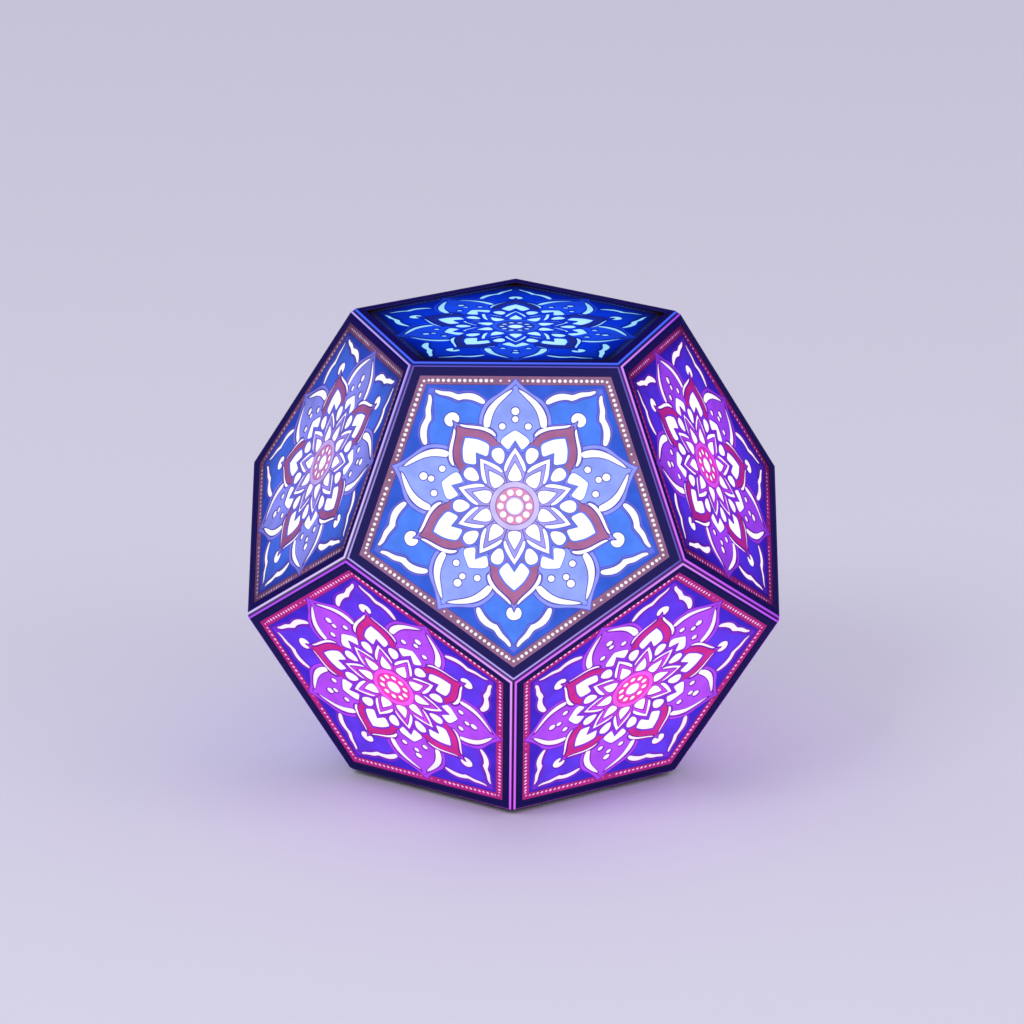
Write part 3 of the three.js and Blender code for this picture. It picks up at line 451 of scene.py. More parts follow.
RUST_CRESCENT = smooth([(1.15, 32.5), (1.6, 32.15), (2.65, 31.1), (3.8, 30.1), (5.0, 29.1), (6.1, 28.1),
                        (7.1, 27.0), (7.9, 26.0), (8.45, 25.0), (8.7, 24.0), (8.72, 23.0), (8.45, 22.4),
                        (8.1, 22.6), (7.85, 23.3), (7.5, 24.2), (7.02, 25.1), (6.4, 26.1), (5.6, 27.1),
                        (4.62, 28.1), (3.55, 29.1), (2.5, 30.1), (1.65, 31.0), (1.1, 31.85)])
CORNER_SLOT = smooth([(1.2, 46.4), (1.85, 45.95), (2.6, 45.1), (3.75, 44.1), (4.95, 43.1), (5.7, 42.1),
                      (6.2, 41.3), (6.75, 40.75), (8.0, 40.15), (9.6, 39.2), (10.75, 38.1), (11.5, 37.0),
                      (11.95, 36.0), (12.25, 35.0), (12.35, 34.1), (12.0, 33.45), (11.3, 33.45),
                      (10.75, 34.1), (10.2, 35.0), (9.55, 36.0), (8.75, 37.0), (7.75, 37.95), (6.6, 38.7),
                      (5.65, 39.0), (5.1, 39.7), (4.6, 40.5), (4.0, 41.5), (3.3, 42.4), (2.45, 43.3),
                      (1.55, 44.3), (1.05, 45.3), (0.9, 46.0)], {7, 23})
MOON = both_sides([(0, 35.2), (0.42, 34.4), (0.75, 33.6), (1.35, 33.4), (2.05, 33.95), (2.45, 34.8),
                   (2.42, 35.8), (1.95, 36.75), (1.05, 37.35), (0, 37.55)], {0})
print("heart drawn with", len(HEART), "points")

# %% Printed shapes, drawn on one ray
LILAC_PETAL = both_sides([(0, 42.7), (0.7, 41.8), (1.5, 40.85), (2.4, 40.0), (3.4, 39.1), (4.65, 38.1),
                          (6.2, 37.0), (7.8, 36.0), (9.1, 35.0), (10.0, 34.0), (10.65, 33.0), (11.15, 32.0),
                          (11.52, 31.0), (11.8, 30.0), (12.0, 29.0), (12.1, 28.0), (12.0, 26.4),
                          (11.3, 24.0), (9.8, 21.5), (7.0, 19.3), (3.5, 18.0), (0, 17.5)], {0})
RUST_RIM = both_sides([(0, 35.4), (0.35, 34.4), (0.7, 33.3), (1.7, 32.6), (3.1, 31.6), (4.3, 30.6),
                       (5.55, 29.5), (6.75, 28.35), (7.75, 27.2), (8.6, 26.0), (9.15, 24.8), (9.35, 23.6),
                       (9.2, 22.5), (8.4, 21.7), (7.3, 19.5), (4.0, 17.5), (0, 17.0)], {0, 2})
RUST_PETAL = both_sides([(0, 32.7), (0.75, 31.7), (1.35, 30.9), (2.25, 29.95), (3.35, 28.95), (4.45, 27.95),
                         (5.4, 26.95), (6.2, 25.95), (6.8, 24.95), (7.25, 23.95), (7.55, 22.95),
                         (7.7, 21.9), (7.75, 20.6), (8.3, 19.2), (8.0, 17.5), (4.0, 16.0), (0, 15.6)], {0})
INNER_PETAL = both_sides([(0, 20.2), (0.75, 19.0), (1.45, 17.9), (2.1, 16.8), (2.7, 15.7), (3.2, 14.7),
                          (3.6, 13.7), (3.82, 12.7), (3.62, 11.4), (3.2, 10.1), (2.76, 8.8), (2.3, 7.5),
                          (0, 7.0)], {0})
CORNER_PIECE = both_sides([(0, 48.4), (0.9, 47.6), (2.2, 46.6), (3.3, 45.5), (4.5, 44.5), (5.7, 43.4),
                           (6.6, 42.3), (7.1, 41.6), (8.4, 41.0), (10.1, 40.0), (11.4, 38.7), (12.2, 37.4),
                           (12.7, 36.2), (13.1, 35.0), (13.3, 33.5), (13.0, 31.0), (10.0, 26.0),
                           (5.0, 24.0), (0, 23.0)], {0, 7})
CORNER_LINE = both_sides([(0, 45.6), (0.55, 44.6), (1.2, 43.5), (2.0, 42.6), (2.8, 41.6), (3.4, 40.6),
                          (3.9, 39.6), (4.7, 38.5), (5.4, 38.2), (6.4, 38.0), (7.3, 37.3), (8.1, 36.5),
                          (8.8, 35.5), (9.4, 34.5), (9.9, 33.5), (10.4, 32.3), (9.5, 29.0), (6.0, 26.0),
                          (0, 25.0)], {0, 7})
print("petal outline drawn with", len(LILAC_PETAL), "points")

# %% [markdown]
# ### Inks and the order of the print
# A printer lays the inks as flat areas, one over another, and runs a fine violet line round every cut-out.
# The same order is kept here in a list: a later shape covers an earlier one. The colours are linear.

# %% Inks
INK = {
    "border": (0.300, 0.140, 0.270),
    "border line": (0.120, 0.070, 0.340),
    "ground": (0.043, 0.122, 0.720),
    "corner rim": (0.130, 0.190, 0.850),
    "corner field": (0.088, 0.240, 0.980),
    "corner line": (0.140, 0.110, 0.600),
    "petal line": (0.110, 0.095, 0.620),
    "petal rim": (0.300, 0.350, 1.020),
    "petal field": (0.315, 0.410, 1.060),
    "rust rim": (0.310, 0.290, 0.930),
    "rust": (0.410, 0.150, 0.330),
    "rust line": (0.120, 0.055, 0.270),
    "inner petal": (0.400, 0.385, 0.950),
    "rosette blue": (0.130, 0.235, 0.960),
    "rosette violet": (0.170, 0.150, 0.700),
    "inner line": (0.240, 0.140, 0.500),
    "ring": (0.640, 0.560, 0.960),
    "disc": (0.780, 0.300, 0.560),
    "hub": (0.700, 0.520, 0.900),
    "violet line": (0.075, 0.060, 0.470),
}
print(len(INK), "inks")

# %% The order of printing
FIELD_APOTHEM = 40.2
FIELD_LINE = 0.25
ROSETTE_DISCS = [(8.25, 64, "inner line"), (8.0, 64, "ring"), (6.35, 56, "inner line"), (6.1, 56, "disc"),
                 (3.3, 40, "inner line"), (3.1, 40, "hub")]


def pentagon(apothem):
    turns = np.radians(CORNER_ANGLES)
    return apothem / math.cos(STEP / 2) * np.stack([np.cos(turns), np.sin(turns)], 1)


def layers(outline, angles, *insets):
    """An outline on every one of these rays, in inks that each start a little further in than the last."""
    return [(grown(along_ray(outline, angle), -inset), ink) for angle in angles for inset, ink in insets]


def printed_shapes():
    """(outline, ink) in the order of printing."""
    shapes = [(pentagon(FIELD_APOTHEM), "border line"), (pentagon(FIELD_APOTHEM - FIELD_LINE), "ground")]
    for angle in CORNER_ANGLES:
        shapes += layers(CORNER_PIECE, [angle], (0, "corner line"), (0.28, "corner rim"))
        shapes += layers(CORNER_LINE, [angle], (-0.3, "corner line"), (0, "corner field"))
    shapes += layers(LILAC_PETAL, SIDE_ANGLES, (0, "petal line"), (0.28, "petal rim"), (1.35, "petal line"),
                     (1.6, "petal field"))
    for angle in CORNER_ANGLES:
        shapes += layers(RUST_RIM, [angle], (0, "petal line"), (0.25, "rust rim"))
        shapes += layers(RUST_PETAL, [angle], (-0.1, "rust line"), (0.15, "rust"))
    shapes += layers(HEART, CORNER_ANGLES, (-0.62, "inner line"), (-0.46, "rosette blue"))
    shapes += layers(PEARL, PEARL_ANGLES, (-0.95, "inner line"), (-0.8, "rosette blue"))
    shapes += layers(INNER_PETAL, PETAL_ANGLES, (-0.6, "inner line"), (-0.45, "rosette blue"))
    shapes.append((disc(0, 0, 12.4, 80), "inner line"))
    shapes += layers(INNER_PETAL, PETAL_ANGLES, (0, "inner line"), (0.16, "inner petal"))
    return shapes + [(disc(0, 0, radius, count), ink) for radius, count, ink in ROSETTE_DISCS]


print(len(printed_shapes()), "areas of ink")

# %% [markdown]
# ### The punched border
# A row of round holes follows the border. They get smaller and sparser beside the petal tips and at the
# corners, and the hand of the drawing shows in their slightly uneven pitch. A fixed seed keeps it the same.

# %% Dots along the border
DOT_ROW = 41.5
DOT_PITCH = 1.76
DOT_RADIUS = 0.58
LAST_DOT = (28.35, 0.46)
CORNER_DOT_IN = 0.25
CORNER_DOT_RADIUS = 0.45
# To the right and left of a petal tip: where the even row starts, how many it has, and the odd ones.
HALF_ROWS = {1: (5.7, 13, [(2.35, 0.38), (3.95, 0.44)]), -1: (7.8, 12, [(2.1, 0.36), (4.85, 0.38)])}
UNEVEN_SIDES = (1, 4)
chance = np.random.default_rng(5)


def border_dots():
    """Round holes along the five sides, as (x, y, radius, ray)."""
    dots = []
    for side, angle in enumerate(SIDE_ANGLES):
        uneven = 0.13 if side in UNEVEN_SIDES else 0.05
        for hand, (first, count, odd) in HALF_ROWS.items():
            even = [(first + DOT_PITCH * k, DOT_RADIUS) for k in range(count)]
            for place, radius in [*even, *odd, LAST_DOT]:
                x = hand * (place + chance.uniform(-uneven, uneven))
                dots.append((x, DOT_ROW, radius * chance.uniform(0.92, 1.06), angle))
    corner = (DOT_ROW - CORNER_DOT_IN) / math.cos(STEP / 2)
    return dots + [(0, corner, CORNER_DOT_RADIUS, angle + FIFTH / 2) for angle in SIDE_ANGLES]


print("punched dots in even rows,", DOT_PITCH, "mm apart")

# %% Cut-outs of one card
PETAL_HOLES = [(0, 31.4, 1.32), (0, 28.75, 1.05), (4.25, 26.35, 1.1), (-4.25, 26.35, 1.1)]


def cut_outs():
    """Each cut-out with the ink of the line round it, if it has one."""
    cuts = [(disc(0, 0, 2.55, 40), None)]
    for petal, pearl in zip(PETAL_ANGLES, PEARL_ANGLES):
        cuts += [(along_ray(disc(0, 4.65, 1.05, 20), pearl), None),
                 (along_ray(TEARDROP, petal), "rosette violet"),
                 (along_ray(PETAL_VEE, petal), "rosette violet"),
                 (along_ray(PEARL, pearl), "inner line")]
    for corner, side in zip(CORNER_ANGLES, SIDE_ANGLES):
        cuts += [(along_ray(HEART, corner), "rosette blue"), (along_ray(SPADE, side), "rosette blue"),
                 (along_ray(MOON, corner), "violet line")]
        for flip in (False, True):
            for shape, angle in ((LILAC_CRESCENT, side), (RUST_CRESCENT, corner), (CORNER_SLOT, corner)):
                cuts.append((along_ray(shape, angle, flip), "violet line"))
        cuts += [(along_ray(disc(x, y, radius, 20), side), "violet line") for x, y, radius in PETAL_HOLES]
    return cuts + [(along_ray(disc(x, y, radius, 10), angle), None) for x, y, radius, angle in border_dots()]


print(len(cut_outs()), "cut-outs in a card")

# %% [markdown]
# ### One flat mesh, then thickness
# Cutting hundreds of holes with Boolean modifiers is slow and leaves long thin faces. The card is flat, so
# all its outlines go into one constrained triangulation instead. Each triangle then asks which outline
# holds its middle: a cut-out removes it, and otherwise the last print over it gives its ink.

# %% Triangulate the card
CARD_INSET = 3.0
CARD_FRONT = 0.78
CARD_BACK = 1.1
LINE_ROUND_CUTS = 0.26
DRAWING_SHARE = 0.983
EDGE_SLACK = 1.00001


def inside(points, outline):
    """Which points an outline goes round, by counting its turns."""
    x0, y0 = outline[:, 0], outline[:, 1]
    x1, y1 = np.roll(x0, -1), np.roll(y0, -1)
    result = np.zeros(len(points), bool)
    low, high = outline.min(0), outline.max(0)
    near = np.flatnonzero(np.all((points >= low) & (points <= high), 1))
    px, py = points[near, 0][:, None], points[near, 1][:, None]
    side = (x1 - x0) * (py - y0) - (px - x0) * (y1 - y0)
    turns = ((y0 <= py) & (y1 > py) & (side > 0)).sum(1) - ((y0 > py) & (y1 <= py) & (side < 0)).sum(1)
    result[near] = turns != 0
    return result


def card_drawing():
    """Points, triangles and the ink of each triangle of a flat card, in millimetres."""
    edge = pentagon(APOTHEM / MM - CARD_INSET)
    cuts = cut_outs()
    prints = printed_shapes() + [(grown(cut, LINE_ROUND_CUTS), line) for cut, line in cuts if line]
    cuts = [cut * DRAWING_SHARE for cut, _ in cuts]
    prints = [(outline * DRAWING_SHARE, ink) for outline, ink in prints]
    points, links = [], []
    for outline in [edge, *cuts, *[outline for outline, _ in prints]]:
        first = len(points)
        points += [Vector(point) for point in outline]
        links += [(first + i, first + (i + 1) % len(outline)) for i in range(len(outline))]
    made = delaunay_2d_cdt(points, links, [], 0, 1e-5, False)
    corners = np.array(made[0])
    triangles = np.array(made[2])
    middles = corners[triangles].mean(1)
    kept = inside(middles, edge * EDGE_SLACK)
    for cut in cuts:
        kept &= ~inside(middles, cut)
    triangles, middles = triangles[kept], middles[kept]
    inks = np.tile(INK["border"], (len(triangles), 1))
    for outline, ink in prints:
        inks[inside(middles, outline)] = INK[ink]
    return corners, triangles, inks


corners, triangles, inks = card_drawing()
print(len(corners), "points and", len(triangles), "triangles in the drawing")

# %% Give the card its thickness
BORDER_START = 40.3
CUT_EDGE_INK = (0.22, 0.19, 0.56)
DOT_EDGE_INK = (0.58, 0.42, 0.66)


def card_mesh(name):
    """The card as a closed sheet with its inks, drawn on the flat face in metres."""
    used, numbers = np.unique(triangles, return_inverse=True)
    flat = corners[used]
    faces = numbers.reshape(-1, 3)
    count = len(flat)
    front = np.column_stack([flat, np.full(count, -CARD_FRONT)])
    back = np.column_stack([flat, np.full(count, -CARD_BACK)])
    pairs = dict.fromkeys(pair for a, b, c in faces.tolist() for pair in ((a, b), (b, c), (c, a)))
    rims = [pair for pair in pairs if (pair[1], pair[0]) not in pairs]
    walls = [(b, a, a + count, b + count) for a, b in rims]
    middles = flat[np.array(rims)].mean(1)
    in_border = ~inside(middles, pentagon(BORDER_START * DRAWING_SHARE))
    wall_inks = np.where(in_border[:, None], DOT_EDGE_INK, CUT_EDGE_INK)
    mesh = bpy.data.meshes.new(name)
    polygons = faces.tolist() + (faces[:, ::-1] + count).tolist() + walls
    mesh.from_pydata((np.vstack([front, back]) * MM).tolist(), [], polygons)
    back_inks = np.tile(CUT_EDGE_INK, (len(faces), 1))
    colours = np.vstack([np.repeat(inks, 3, 0), np.repeat(back_inks, 3, 0), np.repeat(wall_inks, 4, 0)])
    values = np.column_stack([colours, np.ones(len(colours))]).astype(np.float32)
    layer = mesh.color_attributes.new("ink", "FLOAT_COLOR", "CORNER")
    layer.data.foreach_set("color", values.ravel())
    return mesh


flat_card = card_mesh("card panel")
print(len(flat_card.polygons), "faces in a card")

# %% Place a card on every lit face
CORNER_AT = 50 * MM


def places_of(mesh):
    """The places of a mesh's points, one in each row."""
    places = np.empty(len(mesh.vertices) * 3)
    mesh.vertices.foreach_get("co", places)
    return places.reshape(-1, 3)


def paint_light(mesh, colour, corner_share):
    """The face's light on a card that still lies flat, with a share of it left at the corners."""
    reach = np.hypot(*places_of(mesh)[:, :2].T) / CORNER_AT
    values = np.ones((len(reach), 4), np.float32)
    values[:, :3] = np.outer(1 - (1 - corner_share) * reach ** 3, colour)
    layer = mesh.color_attributes.new("light", "FLOAT_COLOR", "POINT")
    layer.data.foreach_set("color", values.ravel())


def linked(name, data):
    holder = bpy.data.objects.new(name, data)
    bpy.context.scene.collection.objects.link(holder)
    return holder


def add_piece(name, mesh, slot, replaces, body="lantern_body"):
    piece = linked(name, mesh)
    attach(piece, body)
    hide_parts(*replaces)
    return piece


for face, place in FACES.items():
    mesh = flat_card.copy()
    paint_light(mesh, LIGHTS[face].card, LIGHTS[face].corner_share)
    mesh.transform(place)
    mesh.materials.append(card_finish)
    add_piece(f"pierced_card_{face}", mesh, slot="printed_card", replaces=[f"card_panel_{face}"])
print("cards on", len(FACES), "faces")

# %% [markdown]
# ## The opal sheets
# Each sheet is a plain pentagon of opal plastic just behind its card. The lamp sits behind its middle, so
# the light falls off a little towards the corners and takes on more colour there, which an exponent on each
# channel does. Rings of points let the light attribute fade smoothly.

# %% A sheet whose light fades towards its corners
SHEET_INSET = 3.0
SHEET_FRONT = 1.12
SHEET_BACK = 2.95
SHEET_RINGS = 10
SHEET_LEVEL, SHEET_FADE = 1.12, 0.3
COLOUR_POWER, POWER_RISE = 0.55, 0.75


def sheet_mesh(name, place, colour):
    mesh = bpy.data.meshes.new(name)
    form = bmesh.new()
    shade = form.verts.layers.float_color.new("light")
    corners = [Vector(corner).to_3d() for corner in pentagon(APOTHEM / MM - SHEET_INSET)]
    rings = []
    outwards = range(SHEET_RINGS + 1)
    for depth, order in ((SHEET_FRONT, outwards), (SHEET_BACK, reversed(outwards))):
        for ring in order:
            share = ring / SHEET_RINGS
            fade = SHEET_LEVEL - SHEET_FADE * share ** 2
            power = COLOUR_POWER + POWER_RISE * share
            row = []
            for corner in corners if ring else corners[:1]:
                vertex = form.verts.new((corner * share - Vector((0, 0, depth))) * MM)
                vertex[shade] = (*(channel ** power * fade for channel in colour), 1)
                row.append(vertex)
            rings.append(row)
    for inner, outer in zip(rings, rings[1:]):
        for i in range(SIDES):
            j = (i + 1) % SIDES
            loop = [inner[i % len(inner)], outer[i % len(outer)],
                    outer[j % len(outer)], inner[j % len(inner)]]
            form.faces.new(list(dict.fromkeys(loop)))
    form.transform(place)
    form.normal_update()
    form.to_mesh(mesh)
    form.free()
    mesh.materials.append(opal_finish)
    return mesh


for face, place in FACES.items():
    mesh = sheet_mesh(f"opal sheet {face}", place, LIGHTS[face].sheet)
    add_piece(f"opal_sheet_{face}_piece", mesh, slot="opal_sheet", replaces=[f"diffuser_{face}"])
print("sheet behind each card,", len(mesh.polygons), "faces")

# %% [markdown]
# ## The mouldings round the cards
# A moulding follows the five edges of a face with one section, like a picture frame, and meets its
# neighbours at the mitre. Geometry Nodes suits it: a five-sided path, a section swept along it, and an
# instance on each face. A sweep squeezes its section at a sharp turn, so the section is widened by 1 / cos
# 36 degrees first.

# %% The section of a moulding
CLEARANCE = 0.3
BEAD_RADIUS = 0.75
BEAD_INSET = 1.52
RIM_DEPTH = 0.2
LIP_REACH = 4.1
LIP_BACK = 0.7
LIP_ROUND = 0.2
WALL_INSET = 2.7
WALL_BACK = 2.95
MITRE_TAN = 1 / GOLDEN
MITRE_SHIFT = CLEARANCE / 2 / math.cos(math.atan(MITRE_TAN))
BEAD_STEPS = 22
ROUND_STEPS = 5
# How much painted highlight the bead keeps at the gap, and the angles where it rises, holds and falls.
GAP_HIGHLIGHT = 0.12
HIGHLIGHT_BAND = [math.radians(degrees) for degrees in (13, 26, 62, 78)]


def bead_points():
    """The outer wall and the bead, as (inset, depth, lit) from the ideal edge. Only the seam side gets the painted
    highlight, in the share lit.
    """
    first = math.pi + math.atan(MITRE_TAN)
    last = math.asin((BEAD_RADIUS - RIM_DEPTH) / BEAD_RADIUS)
    points = [(WALL_BACK * MITRE_TAN + MITRE_SHIFT, WALL_BACK, 0.0)]
    for step in range(BEAD_STEPS + 1):
        angle = first - step / BEAD_STEPS * (first - last)
        lit = float(np.interp(angle - math.pi / 2, HIGHLIGHT_BAND, (0, 1, 1, GAP_HIGHLIGHT)))
        depth = BEAD_RADIUS - BEAD_RADIUS * math.sin(angle)
        points.append((BEAD_INSET + BEAD_RADIUS * math.cos(angle), depth, lit))
    return points


def moulding_section():
    points = bead_points()
    for step in range(ROUND_STEPS + 1):
        angle = math.pi / 2 * (1 - step / ROUND_STEPS)
        points.append((LIP_REACH - LIP_ROUND + LIP_ROUND * math.cos(angle),
                       RIM_DEPTH + LIP_ROUND - LIP_ROUND * math.sin(angle), 0.0))
    return points + [(LIP_REACH, LIP_BACK, 0.0), (WALL_INSET, LIP_BACK, 0.0), (WALL_INSET, WALL_BACK, 0.0)]


print(len(moulding_section()), "points in the section")

# %% [markdown]
# ### A frame of points to instance on
# Instances need places. A mesh of loose points, one on each face, carries the turn of the face and its
# light. The tree reads both by name, so one tree serves the mouldings, and any other piece that sits on the
# faces.

# %% Points with a turn and a light
def place_points(name, places, lights):
    """Loose points with a turn, as Euler angles, and a light."""
    mesh = bpy.data.meshes.new(name)
    mesh.from_pydata([place.translation for place in places], [], [])
    turn = mesh.attributes.new("turn", "FLOAT_VECTOR", "POINT")
    turn.data.foreach_set("vector", [angle for place in places for angle in place.to_euler("XYZ")])
    light = mesh.attributes.new("light", "FLOAT_COLOR", "POINT")
    light.data.foreach_set("color", [value for colour in lights for value in (*colour, 1.0)])
    return linked(name, mesh)


print("points carry a turn and a light")

# %% Starting and ending a tree
def new_tree(name, *inputs):
    """A Geometry Nodes tree with inputs, each (name, socket kind, default), what they give, and its end."""
    group = bpy.data.node_groups.new(name, "GeometryNodeTree")
    group.interface.new_socket("Geometry", in_out="INPUT", socket_type="NodeSocketGeometry")
    for label, kind, default in inputs:
        socket = group.interface.new_socket(label, in_out="INPUT", socket_type=f"NodeSocket{kind}")
        socket.default_value = default
    group.interface.new_socket("Geometry", in_out="OUTPUT", socket_type="NodeSocketGeometry")
    tree = Tree(group)
    start = group.nodes.new("NodeGroupInput")
    given = {socket.name: Flow(tree, socket) for socket in start.outputs if socket.name}
    return tree, given, group.nodes.new("NodeGroupOutput")


def on_points(tree, points, piece):
    """Puts the piece on every point, turned as the point says."""
    turned = tree.node("GeometryNodeInputNamedAttribute", {"data_type": "FLOAT_VECTOR"}, "turn").out()
    rotation = tree.node("FunctionNodeEulerToRotation", None, turned).out()
    return tree.node("GeometryNodeInstanceOnPoints", None, points, Instance=piece, Rotation=rotation).out()


def finish_tree(tree, output, geometry, material):
    """Real faces and a material end every tree."""
    real = tree.node("GeometryNodeRealizeInstances", None, geometry).out()
    painted = tree.node("GeometryNodeSetMaterial", None, real, Material=material).out()
    tree.fill(output, {0: painted})


def evaluated_mesh(holder):
    """What the holder's modifiers make, as a plain mesh. The holder goes."""
    mesh = bpy.data.meshes.new_from_object(holder.evaluated_get(bpy.context.evaluated_depsgraph_get()))
    bpy.data.objects.remove(holder)
    return mesh


def grown_mesh(holder, tree, **values):
    """What the tree makes on the holder, as a plain mesh."""
    modifier = holder.modifiers.new("build", "NODES")
    modifier.node_group = tree.nodes
    for item in tree.nodes.interface.items_tree:
        label = item.name.replace(" ", "_")
        if item.in_out == "INPUT" and label in values:
            modifier[item.identifier] = values[label]
    return evaluated_mesh(holder)


print("tree helpers ready")

# %% A tree that sweeps a section round a regular path
MERGE_DISTANCE = 1e-6
FLAT_AREA = 1e-8
STEEP = math.radians(35)


def sweep_tree():
    """Sweeps a section round a path of equal sides and puts a copy on every point of the holder."""
    tree, given, output = new_tree(
        "section swept round", ("Section", "Object", None), ("Sides", "Int", SIDES),
        ("Path radius", "Float", 0.01), ("First corner", "Float", 0.0), ("Finish", "Material", None))
    section = tree.node("GeometryNodeObjectInfo", None, given["Section"]).out("Geometry")
    profile = tree.node("GeometryNodeMeshToCurve", None, section).out()
    path = tree.node("GeometryNodeCurvePrimitiveCircle", None, Resolution=given["Sides"],
                     Radius=given["Path radius"]).out()
    swept = tree.node("GeometryNodeCurveToMesh", None, path, profile).out()
    turn = tree.node("ShaderNodeCombineXYZ", None, Z=given["First corner"]).out()
    swept = tree.node("GeometryNodeTransform", None, swept, Rotation=turn).out()
    swept = tree.node("GeometryNodeMergeByDistance", None, swept, Distance=MERGE_DISTANCE).out()
    # A mitre edge runs along a ray: its two ends and the axis lie in one plane.
    ends = tree.node("GeometryNodeInputMeshEdgeVertices")
    cross = tree.node("ShaderNodeVectorMath", {"operation": "CROSS_PRODUCT"}, ends.out(2), ends.out(3)).out()
    area = tree.node("ShaderNodeSeparateXYZ", None, cross).out("Z")
    mitre = tree.node("FunctionNodeCompare", {"operation": "LESS_THAN"}, area * area, FLAT_AREA ** 2).out()
    angle = tree.node("GeometryNodeInputMeshEdgeAngle").out()
    steep = tree.node("FunctionNodeCompare", {"operation": "GREATER_THAN"}, angle, STEEP).out()
    hard = tree.node("FunctionNodeBooleanMath", {"operation": "OR"}, mitre, steep).out()
    smooth_faces = tree.node("GeometryNodeSetShadeSmooth", {"domain": "FACE"}, swept, Shade_Smooth=True).out()
    shaded = tree.node("GeometryNodeSetShadeSmooth", {"domain": "EDGE"}, smooth_faces, hard, False).out()
    finish_tree(tree, output, on_points(tree, given["Geometry"], shaded), given["Finish"])
    return tree


SWEEP = sweep_tree()
print(len(SWEEP.nodes.nodes), "nodes in the sweep")

# %% A section swept round the five sides
PATH_RADIUS = 10.0


def swept_round(name, section, places, lights, finish):
    """A mesh of one section, as (apothem, depth, lit) in millimetres, swept round each place."""
    widen = 1 / math.cos(STEP / 2)
    points = [((reach * widen - PATH_RADIUS) * MM, depth * MM, 0) for reach, depth, _ in section]
    outline = bpy.data.meshes.new(name + " section")
    outline.from_pydata(points, [(i, (i + 1) % len(points)) for i in range(len(points))], [])
    # lit: the share of the painted highlight at each point of the section.
    outline.attributes.new("lit", "FLOAT", "POINT").data.foreach_set("value", [lit for _, _, lit in section])
    drawn = linked(name + " section", outline)
    holder = place_points(name + " places", places, lights)
    mesh = grown_mesh(holder, SWEEP, Section=drawn, Sides=SIDES, Path_radius=PATH_RADIUS * MM,
                      First_corner=math.radians(CORNER_ANGLES[0]), Finish=finish)
    bpy.data.objects.remove(drawn)
    return mesh


print("a section swept round", SIDES, "sides")

# %% The eleven mouldings
def paint_seam_highlights(mesh):
    """Gives each side of a moulding the painted highlight of its seam: the nearest face is its own, the next its
    neighbour.
    """
    normals = np.array([place.to_3x3().col[2] for place in [*FACES.values(), BASE]])
    order = np.argsort((places_of(mesh) - MIDDLE) @ -normals.T, 1)[:, :2]
    names = [*FACES, "base"]
    table = np.ones((len(names), len(names), 4))
    table[:, -1, :3] = BASE_SEAM_LIGHT
    for i, face in enumerate(FACES):
        for j, neighbour in enumerate(FACES):
            table[i, j, :3] = SEAM_LIGHT.get((face, neighbour), LIGHTS[face].bead)
    colours = table[order[:, 0], order[:, 1]]
    mesh.attributes["light"].data.foreach_set("color", colours.astype(np.float32).ravel())


# The section runs backwards, so that its faces point outwards.
moulding = [(APOTHEM / MM - inset, depth, lit) for inset, depth, lit in reversed(moulding_section())]
# The painted highlight of each face's bead, before each seam gets its own.
bead_highlights = [light.bead for light in LIGHTS.values()]
mesh = swept_round("mouldings", moulding, FACES.values(), bead_highlights, painted_highlight_bezel_finish)
paint_seam_highlights(mesh)
add_piece("glossy_mouldings", mesh, slot="black_gloss", replaces=[f"bezel_{face}" for face in FACES])
print(len(mesh.polygons), "faces in the mouldings")

# %% [markdown]
# ## Finishes of the smaller pieces
# Black mouldings, rubber, a green board, steel and brass. None of them is one flat colour: the tone drifts
# a little over the piece, the gloss changes with handling, and the mouldings have the fine grain of their
# tool.

# %% One finish for each kind of piece
# The grain that a mould leaves, as (scale, depth): a polished tool's, the cage's and rubber's.
TOOL = (2600.0, 0.00002)
CAGE = (2400.0, 0.00002)
RUBBER = (1800.0, 0.00004)
